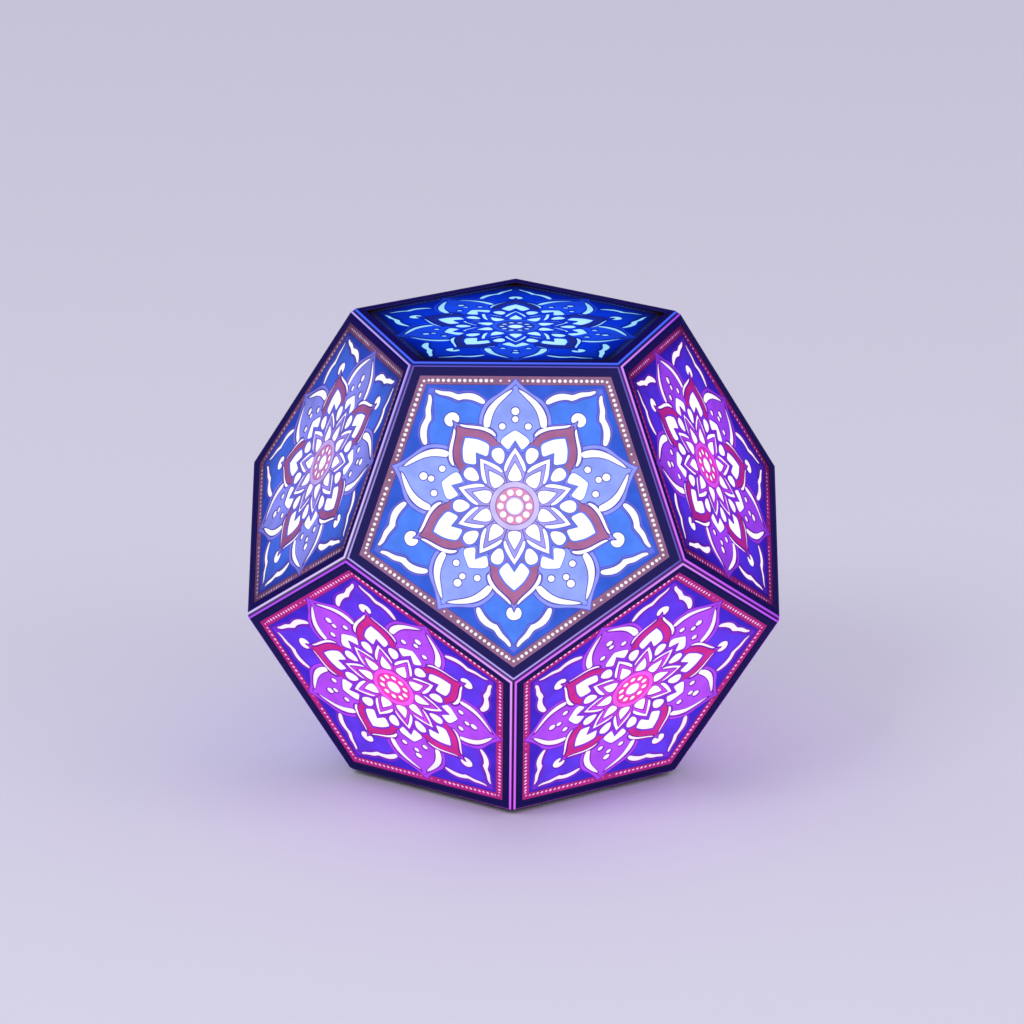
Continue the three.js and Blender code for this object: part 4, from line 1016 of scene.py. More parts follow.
# Name, dark tone, pale tone, scale of the drift, roughness from and to, grain and metal.
TONES = {
    "frame_black": ("frame moulding", (0.016, 0.016, 0.02), (0.03, 0.03, 0.036), 90.0, (0.45, 0.6), CAGE),
    "tray_black": ("tray moulding", (0.011, 0.010, 0.016), (0.02, 0.019, 0.026), 70.0, (0.3, 0.44), TOOL),
    "board_green": ("solder mask", (0.015, 0.13, 0.05), (0.03, 0.2, 0.08), 300.0, (0.3, 0.45)),
    "battery_wrap": ("shrink wrap", (0.03, 0.14, 0.5), (0.05, 0.2, 0.62), 120.0, (0.25, 0.4)),
    "post_white": ("white post moulding", (0.76, 0.76, 0.75), (0.84, 0.84, 0.83), 80.0, (0.5, 0.6)),
    "led_board": ("LED board", (0.86, 0.84, 0.77), (0.89, 0.87, 0.81), 400.0, (0.35, 0.5)),
    "lead_jacket": ("lead jacket", (0.7, 0.7, 0.7), (0.8, 0.8, 0.8), 200.0, (0.45, 0.55)),
    "button_grey": ("button moulding", (0.52, 0.54, 0.6), (0.6, 0.62, 0.68), 150.0, (0.3, 0.42), TOOL),
    "switch_black": ("switch moulding", (0.014, 0.014, 0.016), (0.028, 0.028, 0.03), 200, (0.35, 0.5), TOOL),
    "spring_steel": ("spring wire", (0.5, 0.5, 0.52), (0.62, 0.62, 0.64), 500.0, (0.2, 0.35), None, 1.0),
    "rocker_black": ("rocker moulding", (0.014, 0.014, 0.018), (0.024, 0.024, 0.03), 200.0, (0.22, 0.34)),
    "socket_steel": ("drawn steel", (0.5, 0.51, 0.53), (0.62, 0.63, 0.65), 400.0, (0.2, 0.34), None, 1.0),
    "contact_gold": ("contact gold", (0.75, 0.52, 0.2), (0.85, 0.62, 0.28), 900.0, (0.25, 0.35), None, 1.0),
    "small_parts": ("small parts", (0.10, 0.08, 0.07), (0.34, 0.27, 0.19), 900.0, (0.4, 0.5)),
    "battery_tape": ("amber tape", (0.55, 0.27, 0.03), (0.64, 0.33, 0.05), 200.0, (0.2, 0.3)),
    "screw_steel": ("black zinc", (0.03, 0.03, 0.035), (0.07, 0.07, 0.075), 600.0, (0.25, 0.4), None, 1.0),
    "foot_rubber": ("foot rubber", (0.03, 0.03, 0.031), (0.05, 0.05, 0.052), 300.0, (0.75, 0.9), RUBBER),
}


def finish(name, dark, pale, scale, roughness, grain=None, metal=0.0):
    return surface(name, toned(dark, pale, scale, roughness, grain), Metallic=metal)


FINISHES = {kind: finish(*row) for kind, row in TONES.items()}
FINISHES["lamp_lens"] = surface("lamp lens", lambda tree: {"Emission_Color": carried(tree, "light")},
                                Base_Color=(0.85, 0.72, 0.25, 1), Roughness=0.25, Emission_Strength=0.8)
print(len(FINISHES), "finishes")

# %% [markdown]
# ## Mouldings made of stacked rings
# The base tray, its feet, screws and controls are moulded or turned. Each can be built as a stack of rings:
# one outline that shrinks or grows a little from depth to depth, so that every edge gets its small round.
# Depth is measured in millimetres from the ideal base face up into the lantern. There are few of these
# pieces, so Boolean modifiers join and pierce the stacks, and a lip on each cutter rounds the edge that it
# leaves.

# %% Rounded edges of a section
ARC_STEPS = 5
CORNER_POINTS = 9
SMALLEST_CORNER = 0.02
LIFT = 0.01
OVERRUN = 2.0


def arc(inset, depth, radius, start, end):
    """Points round an edge, as (inset, depth), between two angles in degrees."""
    turns = np.radians(np.linspace(start, end, ARC_STEPS + 1))
    return [(inset + radius * math.cos(turn), depth + radius * math.sin(turn)) for turn in turns]


def round_start(depth, radius):
    """The rounded edge that a section starts with at this depth."""
    return arc(radius, depth + radius, radius, -90, -180)


def round_end(depth, radius):
    """The rounded edge that a section ends with at this depth."""
    return arc(radius, depth - radius, radius, 180, 90)


def bar_section(half, across, along):
    """A bar whose two ends are bevelled."""
    return [(across, -half), (0, along - half), (0, half - along), (across, half)]


def mouth(radius, depth):
    """The start of a cutter whose lip rounds the edge of a hole in a face at this depth."""
    return [(-radius, depth - OVERRUN)] + arc(-radius, depth - LIFT + radius, radius, -90, 0)


print("an edge rounded at depth 1:", np.round(round_end(1, 0.2), 2).tolist())

# %% Stacks of rings
def round_shape(radius, x=0.0, y=0.0, count=64):
    return lambda inset: disc(x, y, radius - inset, count)


def box_shape(length, width, corner, x=0.0, y=0.0):
    """A rectangle with round corners, drawn smaller all round by an inset."""
    def outline(inset):
        radius = max(corner - inset, SMALLEST_CORNER)
        reach = np.array([length / 2, width / 2]) - inset - radius
        rows = []
        for k, hand in enumerate(((1, 1), (-1, 1), (-1, -1), (1, -1))):
            turns = np.radians(np.linspace(90 * k, 90 * k + 90, CORNER_POINTS))
            rows.append(reach * hand + radius * np.stack([np.cos(turns), np.sin(turns)], 1))
        return np.vstack(rows) + (x, y)
    return outline


def stack(name, shape, section, hollow=False):
    """A closed mesh through the rings of a shape. A hollow one joins its last ring to its first."""
    rows = [np.column_stack([outline, np.full(len(outline), -depth)])
            for outline, depth in ((shape(inset), depth) for inset, depth in section)]
    count = len(rows[0])
    faces = []
    for row in range(len(rows) - (0 if hollow else 1)):
        here, there = row * count, (row + 1) % len(rows) * count
        for i in range(count):
            j = (i + 1) % count
            faces.append((here + i, there + i, there + j, here + j))
    if not hollow:
        faces += [tuple(range(count)), tuple(range((len(rows) - 1) * count, len(rows) * count))[::-1]]
    mesh = bpy.data.meshes.new(name)
    mesh.from_pydata(np.vstack(rows).tolist(), [], faces)
    form = bmesh.new()
    form.from_mesh(mesh)
    bmesh.ops.recalc_face_normals(form, faces=form.faces)
    form.to_mesh(mesh)
    form.free()
    return mesh


print("a small post:", len(stack("post", round_shape(1), [(0, 0), (0, 1)]).polygons), "faces")

# %% Joining, shading and placing
SHARP = math.radians(32)
ON_BASE = BASE @ Matrix.Scale(MM, 4)


def combined(name, parts, cuts=()):
    """The first mesh with the other parts joined on and the cuts taken away."""
    first, *others = [linked(f"{name} {k}", mesh) for k, mesh in enumerate([*parts, *cuts])]
    for k, other in enumerate(others, 1):
        modifier = first.modifiers.new("joint", "BOOLEAN")
        modifier.object = other
        modifier.solver = "MANIFOLD"
        modifier.operation = "UNION" if k < len(parts) else "DIFFERENCE"
    mesh = evaluated_mesh(first)
    for other in others:
        bpy.data.objects.remove(other)
    return mesh


def add_made(name, mesh, slot, replaces, finish=None, body="lantern_body", place=ON_BASE):
    """Adds a piece drawn on the base, with its slot's finish if none is named. Flats keep flat normals."""
    mesh.shade_smooth()
    mesh.set_sharp_from_angle(angle=SHARP)
    holder = linked(name, mesh)
    holder.modifiers.new("normals", "WEIGHTED_NORMAL").keep_sharp = True
    mesh = evaluated_mesh(holder)
    mesh.materials.clear()
    mesh.materials.append(FINISHES[finish or slot])
    mesh.transform(place)
    add_piece(name, mesh, slot, replaces, body)
    print(name, "has", len(mesh.polygons), "faces")


print("sharp edges above", round(math.degrees(SHARP)), "degrees")

# %% A tree that puts copies on points
def copies_tree():
    tree, given, output = new_tree("copies on points", ("Piece", "Object", None),
                                   ("Finish", "Material", None))
    piece = tree.node("GeometryNodeObjectInfo", None, given["Piece"]).out("Geometry")
    finish_tree(tree, output, on_points(tree, given["Geometry"], piece), given["Finish"])
    return tree


COPIES = copies_tree()


def add_copies(name, mesh, places, slot, replaces, finish=None, lights=None):
    """Adds a piece that is made of copies of a mesh, one on each place."""
    holder = place_points(name + " places", places, lights or [(0, 0, 0)] * len(places))
    single = linked(name + " single", mesh)
    copies = grown_mesh(holder, COPIES, Piece=single, Finish=FINISHES[finish or slot])
    bpy.data.objects.remove(single)
    add_made(name, copies, slot, replaces, finish)


print(len(COPIES.nodes.nodes), "nodes in the tree of copies")

# %% [markdown]
# ### The base tray
# The tray is the twelfth face: the same bead as the other mouldings, a flat plate, a tub for the
# electronics and a sunk well for the controls. The well is deep enough that the lantern can stand with a
# cable tucked away.

# %% Sizes of the tray
PLATE_MIDDLE = (RIM_DEPTH + WALL_BACK) / 2
WELL_LENGTH, WELL_WIDTH, WELL_CORNER, WELL_DEPTH, WELL_WALL = 44.0, 18.0, 1.6, 8.0, 1.6
FLOOR_BACK = WELL_DEPTH + WELL_WALL
TUB_RADIUS, TUB_WALL, TUB_RIM, TUB_EASE = 29.5, 1.8, 30.7, 0.5
BUTTON_X, SOCKET_X = -15.0, 15.0
BOARD_DEPTH = 16.3
PILLARS = [(x, y) for x in (17.5, -17.5) for y in (13.5, -13.5)]
PILLAR_SECTION = [(0, PLATE_MIDDLE), (0, BOARD_DEPTH - 0.6), (0.3, BOARD_DEPTH - 0.3)]
RIBS, RIB_LENGTH, RIB_WALL, RIB_TOP = (22.1, -22.1), 22.0, 1.6, 20.7
SCREW_CIRCLE, FOOT_CIRCLE = 37.0, 47.0


def on_circle(radius):
    return [(radius * math.cos(math.radians(angle)), radius * math.sin(math.radians(angle)))
            for angle in CORNER_ANGLES]


print("a well", WELL_LENGTH, "by", WELL_WIDTH, "by", WELL_DEPTH, "mm")

# %% Tray
def tray_parts():
    plate = stack("plate", lambda inset: pentagon(APOTHEM / MM - inset),
                  [(inset, depth) for inset, depth, _ in bead_points()])
    tub = stack("tub", round_shape(TUB_RADIUS, count=128),
                [(0, PLATE_MIDDLE), *round_end(TUB_RIM, TUB_EASE),
                 *arc(TUB_WALL - TUB_EASE, TUB_RIM - TUB_EASE, TUB_EASE, 90, 0), (TUB_WALL, PLATE_MIDDLE)],
                hollow=True)
    around_well = box_shape(WELL_LENGTH + 2 * WELL_WALL, WELL_WIDTH + 2 * WELL_WALL, 2 * WELL_CORNER)
    block = stack("well block", around_well, [(0, PLATE_MIDDLE), *round_end(FLOOR_BACK, 0.6)])
    pillars = [stack("pillar", round_shape(2, x, y, 32), PILLAR_SECTION) for x, y in PILLARS]
    rib_section = [(0, PLATE_MIDDLE), *round_end(RIB_TOP, 0.4)]
    ribs = [stack("rib", box_shape(RIB_WALL, RIB_LENGTH, 0.4, x), rib_section) for x in RIBS]
    return [plate, tub, block, *pillars, *ribs]


def tray_cuts():
    """The well, the holes in its floor, the screw holes and the recesses for the feet."""
    through = (0, FLOOR_BACK + OVERRUN)
    bored = [*mouth(0.2, RIM_DEPTH), (0, 0.5), (1.25, 1.9), (1.25, WALL_BACK + OVERRUN)]
    recess = [*mouth(0.25, RIM_DEPTH), *round_end(1.0, 0.2)]
    well = box_shape(WELL_LENGTH, WELL_WIDTH, WELL_CORNER)
    return [stack("well", well, [*mouth(0.6, RIM_DEPTH), *round_end(WELL_DEPTH, 0.7)]),
            stack("button hole", round_shape(4.5, BUTTON_X), [*mouth(0.25, WELL_DEPTH), through]),
            stack("rocker hole", box_shape(13.6, 9.1, 0.3), [*mouth(0.2, WELL_DEPTH), through]),
            stack("socket hole", box_shape(9.6, 3.9, 1.65, SOCKET_X), [*mouth(0.25, WELL_DEPTH), through]),
            *[stack("screw hole", round_shape(2.7, x, y, 48), bored) for x, y in on_circle(SCREW_CIRCLE)],
            *[stack("foot recess", round_shape(4.8, x, y), recess) for x, y in on_circle(FOOT_CIRCLE)]]


add_made("moulded_base_tray", combined("tray", tray_parts(), tray_cuts()), "tray_black", ["base_tray"])

# %% [markdown]
# ### Feet and screws
# Five rubber feet stand 1.2 mm proud of the tray, each with a shallow middle and a groove that grip the
# table. Five slotted screws hold the tray to the frame. A screw's thread is one ring after another whose
# radius dips along a spiral. Copies on points place both, and each screw is left at the turn where it came
# tight.

# %% Feet
FOOT_SECTION = [(3.3, -0.95), (3.0, -1.2), (1.9, -1.2), (1.75, -1.0), (1.35, -1.0), (1.2, -1.2),
                *round_start(-FOOT_PROUD / MM, 0.5), (0, 0.5), (0.2, 0.7)]


def base_places(radius, turns):
    return [Matrix.Translation((x, y, 0)) @ Matrix.Rotation(turn, 4, "Z")
            for (x, y), turn in zip(on_circle(radius), turns)]


foot = stack("foot", round_shape(4.5), FOOT_SECTION)
add_copies("rubber_feet", foot, base_places(FOOT_CIRCLE, [0] * SIDES), "foot_rubber",
           [f"foot_{k + 1}" for k in range(SIDES)])

# %% Screws
HEAD_DEPTH, SHANK_RADIUS, THREAD_DEPTH, THREAD_PITCH, THREAD_STEP = 0.5, 1.15, 0.22, 0.6, 0.075
SHANK_START, SHANK_END, POINT_LENGTH, POINT_DIP = 1.9, 8.5, 1.2, 0.45
HEAD_SECTION = [(0.12, HEAD_DEPTH), (0.03, HEAD_DEPTH + 0.03), (0, HEAD_DEPTH + 0.12), (1.25, SHANK_START),
                (1.3, SHANK_START + 0.3)]
chance = np.random.default_rng(11)


def shank_shape(depth):
    """The ring of the thread at this depth. The thread runs in under the head and out before the point."""
    turns = np.arange(32) / 32
    dip = 2 * np.abs((depth / THREAD_PITCH - turns) % 1 - 0.5)
    point_start = SHANK_END - POINT_LENGTH
    thread = (SHANK_START, SHANK_START + THREAD_PITCH, point_start, SHANK_END)
    cut = float(np.interp(depth, thread, (0, 1, 1, 0)))
    pointed = POINT_DIP * float(np.interp(depth, (point_start, SHANK_END), (0, 1)))
    return disc(0, 0, SHANK_RADIUS - pointed - THREAD_DEPTH * cut * dip, len(turns))


def screw_mesh():
    head = stack("head", round_shape(2.4, count=48), HEAD_SECTION)
    depths = np.arange(SHANK_START, SHANK_END + 0.01, THREAD_STEP)
    shank = stack("shank", shank_shape, [(depth, depth) for depth in depths])
    slot = stack("slot", box_shape(7, 0.7, 0.05), [(0, HEAD_DEPTH - 1), (0, HEAD_DEPTH + 0.6)])
    return combined("screw", [head, shank], [slot])


add_copies("slotted_base_screws", screw_mesh(), base_places(SCREW_CIRCLE, chance.uniform(0, math.pi, SIDES)),
           "screw_steel", [f"base_screw_{k + 1}" for k in range(SIDES)])

# %% [markdown]
# ### The controls
# The mode button is a turned shape with a dished top, and it slides in its hole. The rocker is a paddle
# with a hollow face that tips on a pin, in a housing with a flange. Its outline is drawn from the side and
# given its width as a stack, so it is turned onto its pin at the end, and tipped to its resting side.

# %% Mode button
BUTTON_FRONT = 5.6
BUTTON_RADIUS = 4.2
DISH_DEPTH, DISH_STEPS = 0.4, (0.2, 0.8, 1.4, 2.0, 2.5, 2.8, 3.0)
DISH = [(BUTTON_RADIUS - reach, BUTTON_FRONT + DISH_DEPTH * (1 - (reach / DISH_STEPS[-1]) ** 2))
        for reach in DISH_STEPS]
BUTTON_SECTION = [*DISH, (1.05, BUTTON_FRONT), *round_start(BUTTON_FRONT, 0.45), (0, 9.75), (-0.15, 9.9),
                  (-1.1, 9.9), (-1.2, 10.0), (-1.2, 10.6), (-1.1, 10.7), (2.6, 10.7), (2.7, 10.8),
                  (2.7, 11.5), (2.9, 11.7)]
button = stack("button", round_shape(BUTTON_RADIUS, BUTTON_X), BUTTON_SECTION)
add_made("dished_mode_button", button, "button_grey", ["mode_button"], body="mode_button")

# %% Rocker and its housing
HOUSING_FRONT = 6.5
PIVOT_DEPTH = 9.4
ROCKER_HALF, ROCKER_CREST, ROCKER_DIP, ROCKER_TILT = 4.442, 3.6, 2.9, math.radians(10)
PADDLE_HALF, PIN_HALF = 3.0, 4.0
CORNER_LIMIT_SHARE = 0.45
TURN_SIDEWAYS = Matrix.Rotation(math.pi / 2, 4, "X")


def eased_corners(points, radius, steps=4):
    """An outline whose corners are rounded off."""
    points = np.asarray(points, float)
    rows = []
    for before, here, after in zip(np.roll(points, 1, 0), points, np.roll(points, -1, 0)):
        back, ahead = before - here, after - here
        start = here + back * min(radius / np.hypot(*back), CORNER_LIMIT_SHARE)
        end = here + ahead * min(radius / np.hypot(*ahead), CORNER_LIMIT_SHARE)
        for t in np.linspace(0, 1, steps + 1):
            rows.append(start * (1 - t) ** 2 + here * 2 * t * (1 - t) + end * t ** 2)
    return np.array(rows)


def rocker_mesh():
    dip = ROCKER_CREST - ROCKER_DIP
    hollow = [(x, ROCKER_DIP + dip * (x / ROCKER_HALF) ** 2) for x in np.linspace(3.9, -3.9, 15)]
    outline = eased_corners([(-ROCKER_HALF, ROCKER_CREST), (-ROCKER_HALF, 1.2), (-2.2, -1.6), (2.2, -1.6),
                             (ROCKER_HALF, 1.2), (ROCKER_HALF, ROCKER_CREST), *hollow], 0.45)
    paddle = stack("paddle", lambda inset: grown(outline, -inset),
                   [*round_start(-PADDLE_HALF, 0.3), *round_end(PADDLE_HALF, 0.3)])
    pin = stack("pin", round_shape(0.8, count=32), bar_section(PIN_HALF, 0.1, 0.1))
    return combined("rocker", [paddle, pin])


def housing_mesh():
    flange = stack("flange", box_shape(15, 10.5, 0.9), [*round_start(HOUSING_FRONT, 0.4), (0, 7.7)])
    body = stack("body", box_shape(13, 8.5, 0.3), [(0, 7.1), (0, 17.9), (0.3, 18.2)])
    cavity = stack("cavity", box_shape(10.6, 6.6, 0.3), [*mouth(0.25, HOUSING_FRONT), (0, 16.6)])
    bearing = stack("bearing", round_shape(1.1, count=32), [(0, -5), (0, 5)])
    bearing.transform(Matrix.Translation((0, 0, -PIVOT_DEPTH)) @ TURN_SIDEWAYS)
    return combined("housing", [flange, body], [cavity, bearing])


tipped = Matrix.Translation((0, 0, -PIVOT_DEPTH)) @ Matrix.Rotation(ROCKER_TILT, 4, "Y") @ TURN_SIDEWAYS
add_made("hollow_faced_rocker", rocker_mesh(), "rocker_black", ["power_rocker"], body="power_rocker",
         place=ON_BASE @ tipped)
add_made("rocker_housing", housing_mesh(), "switch_black", ["rocker_switch_body"])

# %% [markdown]
# ### The charging socket
# A drawn steel shell with rolled lips holds a thin tongue, which carries twelve flat contacts on each side.

# %% Socket, tongue and contacts
SOCKET_BACK = BOARD_DEPTH - 0.3
TONGUE_FRONT, TONGUE_BACK, TONGUE_HALF = 10.2, SOCKET_BACK - 0.9, 0.35
CONTACTS, CONTACT_PITCH, CONTACT_MIDDLE = 12, 0.5, 12.6
drawn_steel = stack("outside", box_shape(9, 3.3, 1.35, SOCKET_X),
                    [*round_start(WELL_DEPTH, 0.12), (0, SOCKET_BACK)])
opening = stack("inside", box_shape(8.3, 2.6, 1.0, SOCKET_X),
                [*mouth(0.12, WELL_DEPTH), (0, SOCKET_BACK - 1.2)])
shell = combined("shell", [drawn_steel], [opening])
add_made("charging_socket_shell", shell, "socket_steel", ["usb_c_socket"])
tongue = stack("tongue", box_shape(6.7, 2 * TONGUE_HALF, 0.15, SOCKET_X),
               [(0.15, TONGUE_FRONT), (0.04, TONGUE_FRONT + 0.1), (0, TONGUE_FRONT + 0.3), (0, TONGUE_BACK)])
add_made("charging_socket_tongue", tongue, "socket_steel", ["usb_c_socket"], "switch_black")
contact = stack("contact", box_shape(0.26, 0.08, 0.02), bar_section(1.6, 0.02, 0.05))
places = [Matrix.Translation((SOCKET_X + CONTACT_PITCH * (k - (CONTACTS - 1) / 2), side, -CONTACT_MIDDLE))
          for k in range(CONTACTS) for side in (TONGUE_HALF, -TONGUE_HALF)]
add_copies("charging_socket_contacts", contact, places, "socket_steel", ["usb_c_socket"], "contact_gold")

# %% [markdown]
# ### The lamps and the electronics
# Each face has its own lamp: five on each belt round the post and one on top. A lamp's domed lens carries
# the colour of the face that it looks at. The driver board has rows of small parts, left out here and there
# as on a real board, and the battery is wrapped in blue film with a band of amber tape.

# %% Lenses of the lamps
LENS_REACH = 11.5
BELTS = {50.0: FIFTH / 4, 86.0: FIFTH * 3 / 4}
TOP_LENS_DEPTH = 100.1
LENS_SECTION = [(1.6, -0.12), (1.2, -0.11), (0.7, -0.07), (0.25, 0.0), (0, 0.15), (0, 0.3)]


def lamp_place(spot, way):
    place = Vector(way).to_track_quat("Z", "Y").to_matrix().to_4x4()
    place.translation = spot
    return place


def lens_light(place):
    """The light of the face that a lens looks at."""
    way = (ON_BASE @ place).to_3x3().col[2].normalized()
    spot = ON_BASE @ place.translation - MIDDLE
    nearest = max(FACES, key=lambda face: FACES[face].to_3x3().col[2].dot(way + spot / INRADIUS))
    return LIGHTS[nearest].card


places = []
for depth, first in BELTS.items():
    for k in range(SIDES):
        angle = math.radians(first + FIFTH * k)
        out = Vector((math.cos(angle), math.sin(angle), 0))
        places.append(lamp_place(out * LENS_REACH - Vector((0, 0, depth)), out))
places.append(lamp_place(Vector((0, 0, -TOP_LENS_DEPTH)), (0, 0, -1)))
lens = stack("lens", round_shape(2.0, count=32), LENS_SECTION)
add_copies("lamp_lenses", lens, places, "led_board", ["upper_led_belt", "lower_led_belt", "top_led_board"],
           "lamp_lens", [lens_light(place) for place in places])

# %% Small parts on the driver board
BOARD_BACK = 17.9
PART_ROWS, PART_PITCH, PARTS_REACH = (12.4, 8.2, -8.2, -12.4), 2.4, 18
CHIP_X, ROOM_BESIDE_CHIP, ROOM_ABOVE_CHIP = 14.0, 6.5, 10
FILLED_SHARE = 0.7
chance = np.random.default_rng(23)


def clear_of_chips(x, y):
    return abs(y) > ROOM_ABOVE_CHIP or abs(abs(x) - CHIP_X) > ROOM_BESIDE_CHIP


places = [Matrix.Translation((x, y, -BOARD_BACK)) for y in PART_ROWS
          for x in np.arange(-PARTS_REACH, PARTS_REACH + 0.1, PART_PITCH)
          if chance.random() < FILLED_SHARE and clear_of_chips(x, y)]
part = stack("small part", box_shape(1.6, 0.8, 0.06), [(0, -0.1), (0, 0.46), (0.04, 0.5)])
add_copies("driver_board_small_parts", part, places, "board_green", ["driver_board"], "small_parts")

# %% Two chips with their legs
LEGS, LEG_PITCH, LEG_REACH = 8, 0.8, 4.4
spots = [Matrix.Translation((x, 0, -BOARD_BACK)) for x in (CHIP_X, -CHIP_X)]
chip = stack("chip", box_shape(8.06, 8.06, 0.15), [(0, -0.05), (0, 0.86), (0.07, 0.93)])
add_copies("driver_board_chips", chip, spots, "switch_black", ["driver_board"])
leg = stack("leg", box_shape(0.34, 0.9, 0.05), [(0, -0.05), (0, 0.14), (0.03, 0.17)])
places = [spot @ Matrix.Translation(((k - (LEGS - 1) / 2) * LEG_PITCH, side, 0))
          for spot in spots for side in (LEG_REACH, -LEG_REACH) for k in range(LEGS)]
add_copies("driver_board_chip_legs", leg, places, "board_green", ["driver_board"], "socket_steel")

# %% Battery in its film, with tape round it
BATTERY_FRONT, BATTERY_BACK = 21.0, 29.0
FILM = 0.12
TAPE_HALF = 6.0
STAND_ON_END = Matrix(((0, 0, 1), (1, 0, 0), (0, 1, 0))).to_4x4()
wrap = stack("wrap", box_shape(48 - FILM, 24 - FILM, 2.6),
             [*round_start(BATTERY_FRONT + FILM, 1.6), *round_end(BATTERY_BACK - FILM, 1.6)])
add_made("battery_wrap_piece", wrap, "battery_wrap", ["battery_pack"])
tape = stack("tape", box_shape(24, BATTERY_BACK - BATTERY_FRONT, 1.75), bar_section(TAPE_HALF, 0.08, 0.05))
tape.transform(Matrix.Translation((0, 0, -(BATTERY_FRONT + BATTERY_BACK) / 2)) @ STAND_ON_END)
add_made("battery_tape_piece", tape, "battery_wrap", ["battery_pack"], "battery_tape")

# %% [markdown]
# ## Pieces that keep their solid shapes
# The frame inside, the post, its belts, the boards and the push switch hardly show. Their solid shapes are
# right, but every edge is knife-sharp. A copy of each has its loose triangles merged, its flat faces joined
# up again and a fine bevel put on its edges, which is what a mould or a router leaves on the real piece.

# %% Soft edges for the kept pieces
SOFT_EDGES = {"inner_frame_upper": 0.15, "inner_frame_lower": 0.15, "driver_board": 0.1, "light_post": 0.25,
              "lower_led_belt": 0.08, "upper_led_belt": 0.08, "top_led_board": 0.1, "push_switch_body": 0.2}
BEVEL_ABOVE = math.radians(40)
SAME_POINT = 1e-7
SAME_PLANE = math.radians(1)


def softened(node, width):
    """A merged copy of a solid piece, with its edges bevelled."""
    mesh = frame["nodes"][node].data.copy()
    form = bmesh.new()
    form.from_mesh(mesh)
    bmesh.ops.remove_doubles(form, verts=form.verts, dist=SAME_POINT)
    bmesh.ops.dissolve_limit(form, angle_limit=SAME_PLANE, verts=form.verts, edges=form.edges)
    form.to_mesh(mesh)
    form.free()
    holder = linked(node + " copy", mesh)
    bevel = holder.modifiers.new("soft edges", "BEVEL")
    bevel.width = width * MM
    bevel.segments = 2
    bevel.limit_method = "ANGLE"
    bevel.angle_limit = BEVEL_ABOVE
    return evaluated_mesh(holder)


slots = {part["node"]: part["material_slot"] for part in frame["record"]["subparts"]}
for node, width in SOFT_EDGES.items():
    add_made(f"soft_edged_{node}", softened(node, width), slots[node], [node], place=Matrix())

# %% [markdown]
# ### The lead and the return spring
# A round lead runs from the driver board over the battery and up the post. A wound wire spring pushes the
# mode button back, and its end turns lie closer together, so that it stands flat on the board. Both could
# be curves with a round bevel. Here a small tree sweeps the wire along a list of points, so that the turns,
# the pitch and the wire stay plain numbers. The spring can't ride on the button, because its far end stays
# on the board. The share of its length that it would keep, squashed towards that end by the button's
# travel, is worked out, but the spring is left at full length.

# %% A tree that sweeps a wire along a path
def wire_tree():
    """Sweeps a round wire along the edges of the holder."""
    tree, given, output = new_tree("wire along a path", ("Wire radius", "Float", 0.25), ("Sides", "Int", 12),
                                   ("Finish", "Material", None))
    path = tree.node("GeometryNodeMeshToCurve", None, given["Geometry"]).out()
    section = tree.node("GeometryNodeCurvePrimitiveCircle", None, Resolution=given["Sides"],
                        Radius=given["Wire radius"]).out()
    swept = tree.node("GeometryNodeCurveToMesh", None, path, section, Fill_Caps=True).out()
    shaded = tree.node("GeometryNodeSetShadeSmooth", {"domain": "FACE"}, swept, Shade_Smooth=True).out()
    finish_tree(tree, output, shaded, given["Finish"])
    return tree


WIRE = wire_tree()


def wire(name, path, radius, finish):
    """A round wire along a list of points on the base, in millimetres."""
    drawn = bpy.data.meshes.new(name)
    drawn.from_pydata(path, [(k, k + 1) for k in range(len(path) - 1)], [])
    mesh = grown_mesh(linked(name, drawn), WIRE, Wire_radius=radius, Finish=finish)
    mesh.transform(ON_BASE)
    return mesh


print(len(WIRE.nodes.nodes), "nodes in the tree of wires")

# %% Lead
LEAD_CORNERS = [(14.5, 18.2), (14.5, 30.0), (3.7, 30.0), (3.7, 95.1)]
LEAD_RADIUS, LEAD_BEND, LEAD_EASE = 0.65, 2.5, 8
eased = eased_corners(LEAD_CORNERS, LEAD_BEND, LEAD_EASE)[LEAD_EASE + 1:-LEAD_EASE - 1]
path = [(0, y, -depth) for y, depth in [LEAD_CORNERS[0], *eased, LEAD_CORNERS[-1]]]
mesh = wire("lead", path, LEAD_RADIUS, FINISHES[slots["led_lead"]])
add_piece("round_led_lead", mesh, slots["led_lead"], ["led_lead"])

# %% Return spring
SPRING_RADIUS, SPRING_WIRE, SPRING_TURNS, STEPS_PER_TURN = 4.61, 0.25, 4.5, 24
SPRING_FRONT, SPRING_BACK = 11.25, 15.75
END_CLOSING = 0.45


def spring_path():
    points = []
    steps = round(SPRING_TURNS * STEPS_PER_TURN)
    for step in range(steps + 1):
        share = step / steps
        share -= END_CLOSING * math.sin(math.tau * share) / math.tau
        turn = math.tau * step / STEPS_PER_TURN
        depth = SPRING_FRONT + (SPRING_BACK - SPRING_FRONT) * share
        points.append((BUTTON_X + SPRING_RADIUS * math.cos(turn), SPRING_RADIUS * math.sin(turn), -depth))
    return points


mesh = wire("spring", spring_path(), SPRING_WIRE, FINISHES["spring_steel"])
spring = add_piece("wound_return_spring", mesh, "spring_steel", ["button_spring"])
lowest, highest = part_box("button_spring")
travel = next(joint for joint in frame["joints"] if joint["name"] == "mode_press")["range_m"][1]
kept = 1 - travel / (highest[2] - lowest[2])
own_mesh(spring)
print(len(mesh.polygons), "faces in the spring, squashed to", round(kept, 3))

# %% [markdown]
# ## The stage
# A pale floor and backdrop, one soft key lamp, a fill and a plain pale world. The level is set so that a
# colour renders about as it is written.

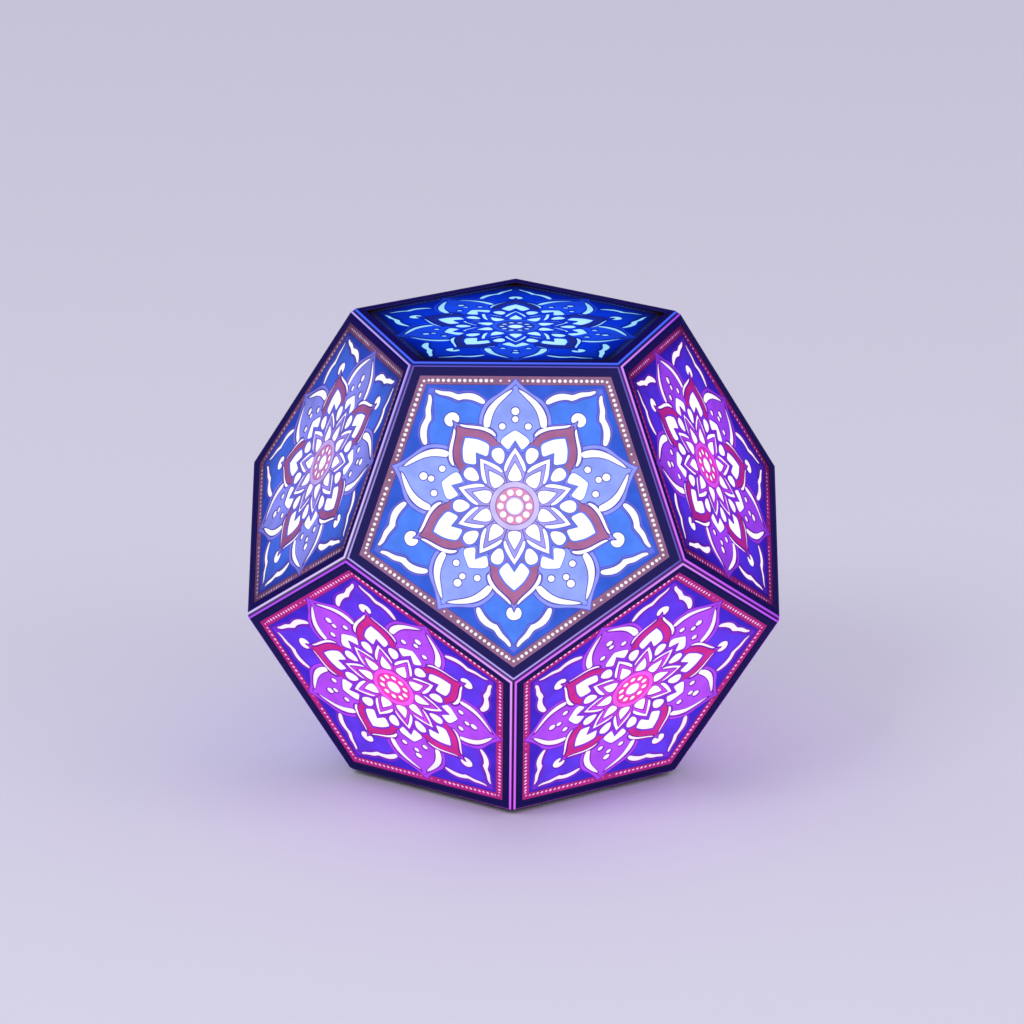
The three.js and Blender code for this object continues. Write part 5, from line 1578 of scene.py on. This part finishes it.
# %% Floor, backdrop and lamps
def stage_plane(name, colour, corners):
    mesh = bpy.data.meshes.new(name)
    mesh.from_pydata(corners, [], [(0, 1, 2, 3)])
    mesh.materials.append(surface(name, None, Base_Color=(*colour, 1), Roughness=0.8, Specular_IOR_Level=0.2))
    linked(name, mesh)


WIDE = 3.0
PALE = (0.72, 0.70, 0.80)
stage_plane("floor", PALE, [(-WIDE, -WIDE, 0), (WIDE, -WIDE, 0), (WIDE, WIDE, 0), (-WIDE, WIDE, 0)])
stage_plane("backdrop", PALE, [(-WIDE, WIDE, 0), (WIDE, WIDE, 0), (WIDE, WIDE, WIDE), (-WIDE, WIDE, WIDE)])
AIM = Vector((0, 0, 0.08))


def soft_lamp(name, size, power, place):
    lamp = bpy.data.lights.new(name, "AREA")
    lamp.shape = "DISK"
    lamp.size = size
    lamp.energy = power
    holder = linked(name, lamp)
    holder.location = place
    holder.rotation_euler = (AIM - Vector(place)).to_track_quat("-Z", "Y").to_euler()


soft_lamp("key lamp", 0.9, 9.0, (-1.1, -1.2, 1.5))
soft_lamp("fill lamp", 1.2, 4.0, (1.4, -0.9, 1.1))
world = bpy.data.worlds.new("pale room")
bpy.context.scene.world = world
world.use_nodes = True
room = world.node_tree.nodes["Background"].inputs
room["Color"].default_value = (0.80, 0.79, 0.86, 1)
room["Strength"].default_value = 0.95
bpy.context.scene.view_settings.view_transform = "Standard"
print("stage set")

# %% [markdown]
# ## The camera
# The camera was fitted to the photograph: a long lens about two metres away, a little above the lantern.

# %% Camera
YAW, RISE, ROLL = math.radians(-0.1), math.radians(17.7), math.radians(0.445)
DISTANCE, FARTHEST = 2.031, 50
FOCAL_LENGTH, SENSOR = 215, 36
TARGET = Vector((-0.74, 0, 86.2)) * MM
back = Vector((math.sin(YAW) * math.cos(RISE), -math.cos(YAW) * math.cos(RISE), math.sin(RISE)))
right = Vector((math.cos(YAW), math.sin(YAW), 0))
up = back.cross(right)
turned_right = right * math.cos(ROLL) + up * math.sin(ROLL)
turned_up = up * math.cos(ROLL) - right * math.sin(ROLL)
lens = bpy.data.cameras.new("camera")
lens.lens = FOCAL_LENGTH
lens.sensor_width = SENSOR
lens.clip_end = FARTHEST
camera = linked("camera", lens)
camera.matrix_world = Matrix.Translation(TARGET + back * DISTANCE) @ Matrix(
    (turned_right, turned_up, back)).transposed().to_4x4()
bpy.context.scene.camera = camera
print("camera at", [round(value, 4) for value in camera.matrix_world.translation])
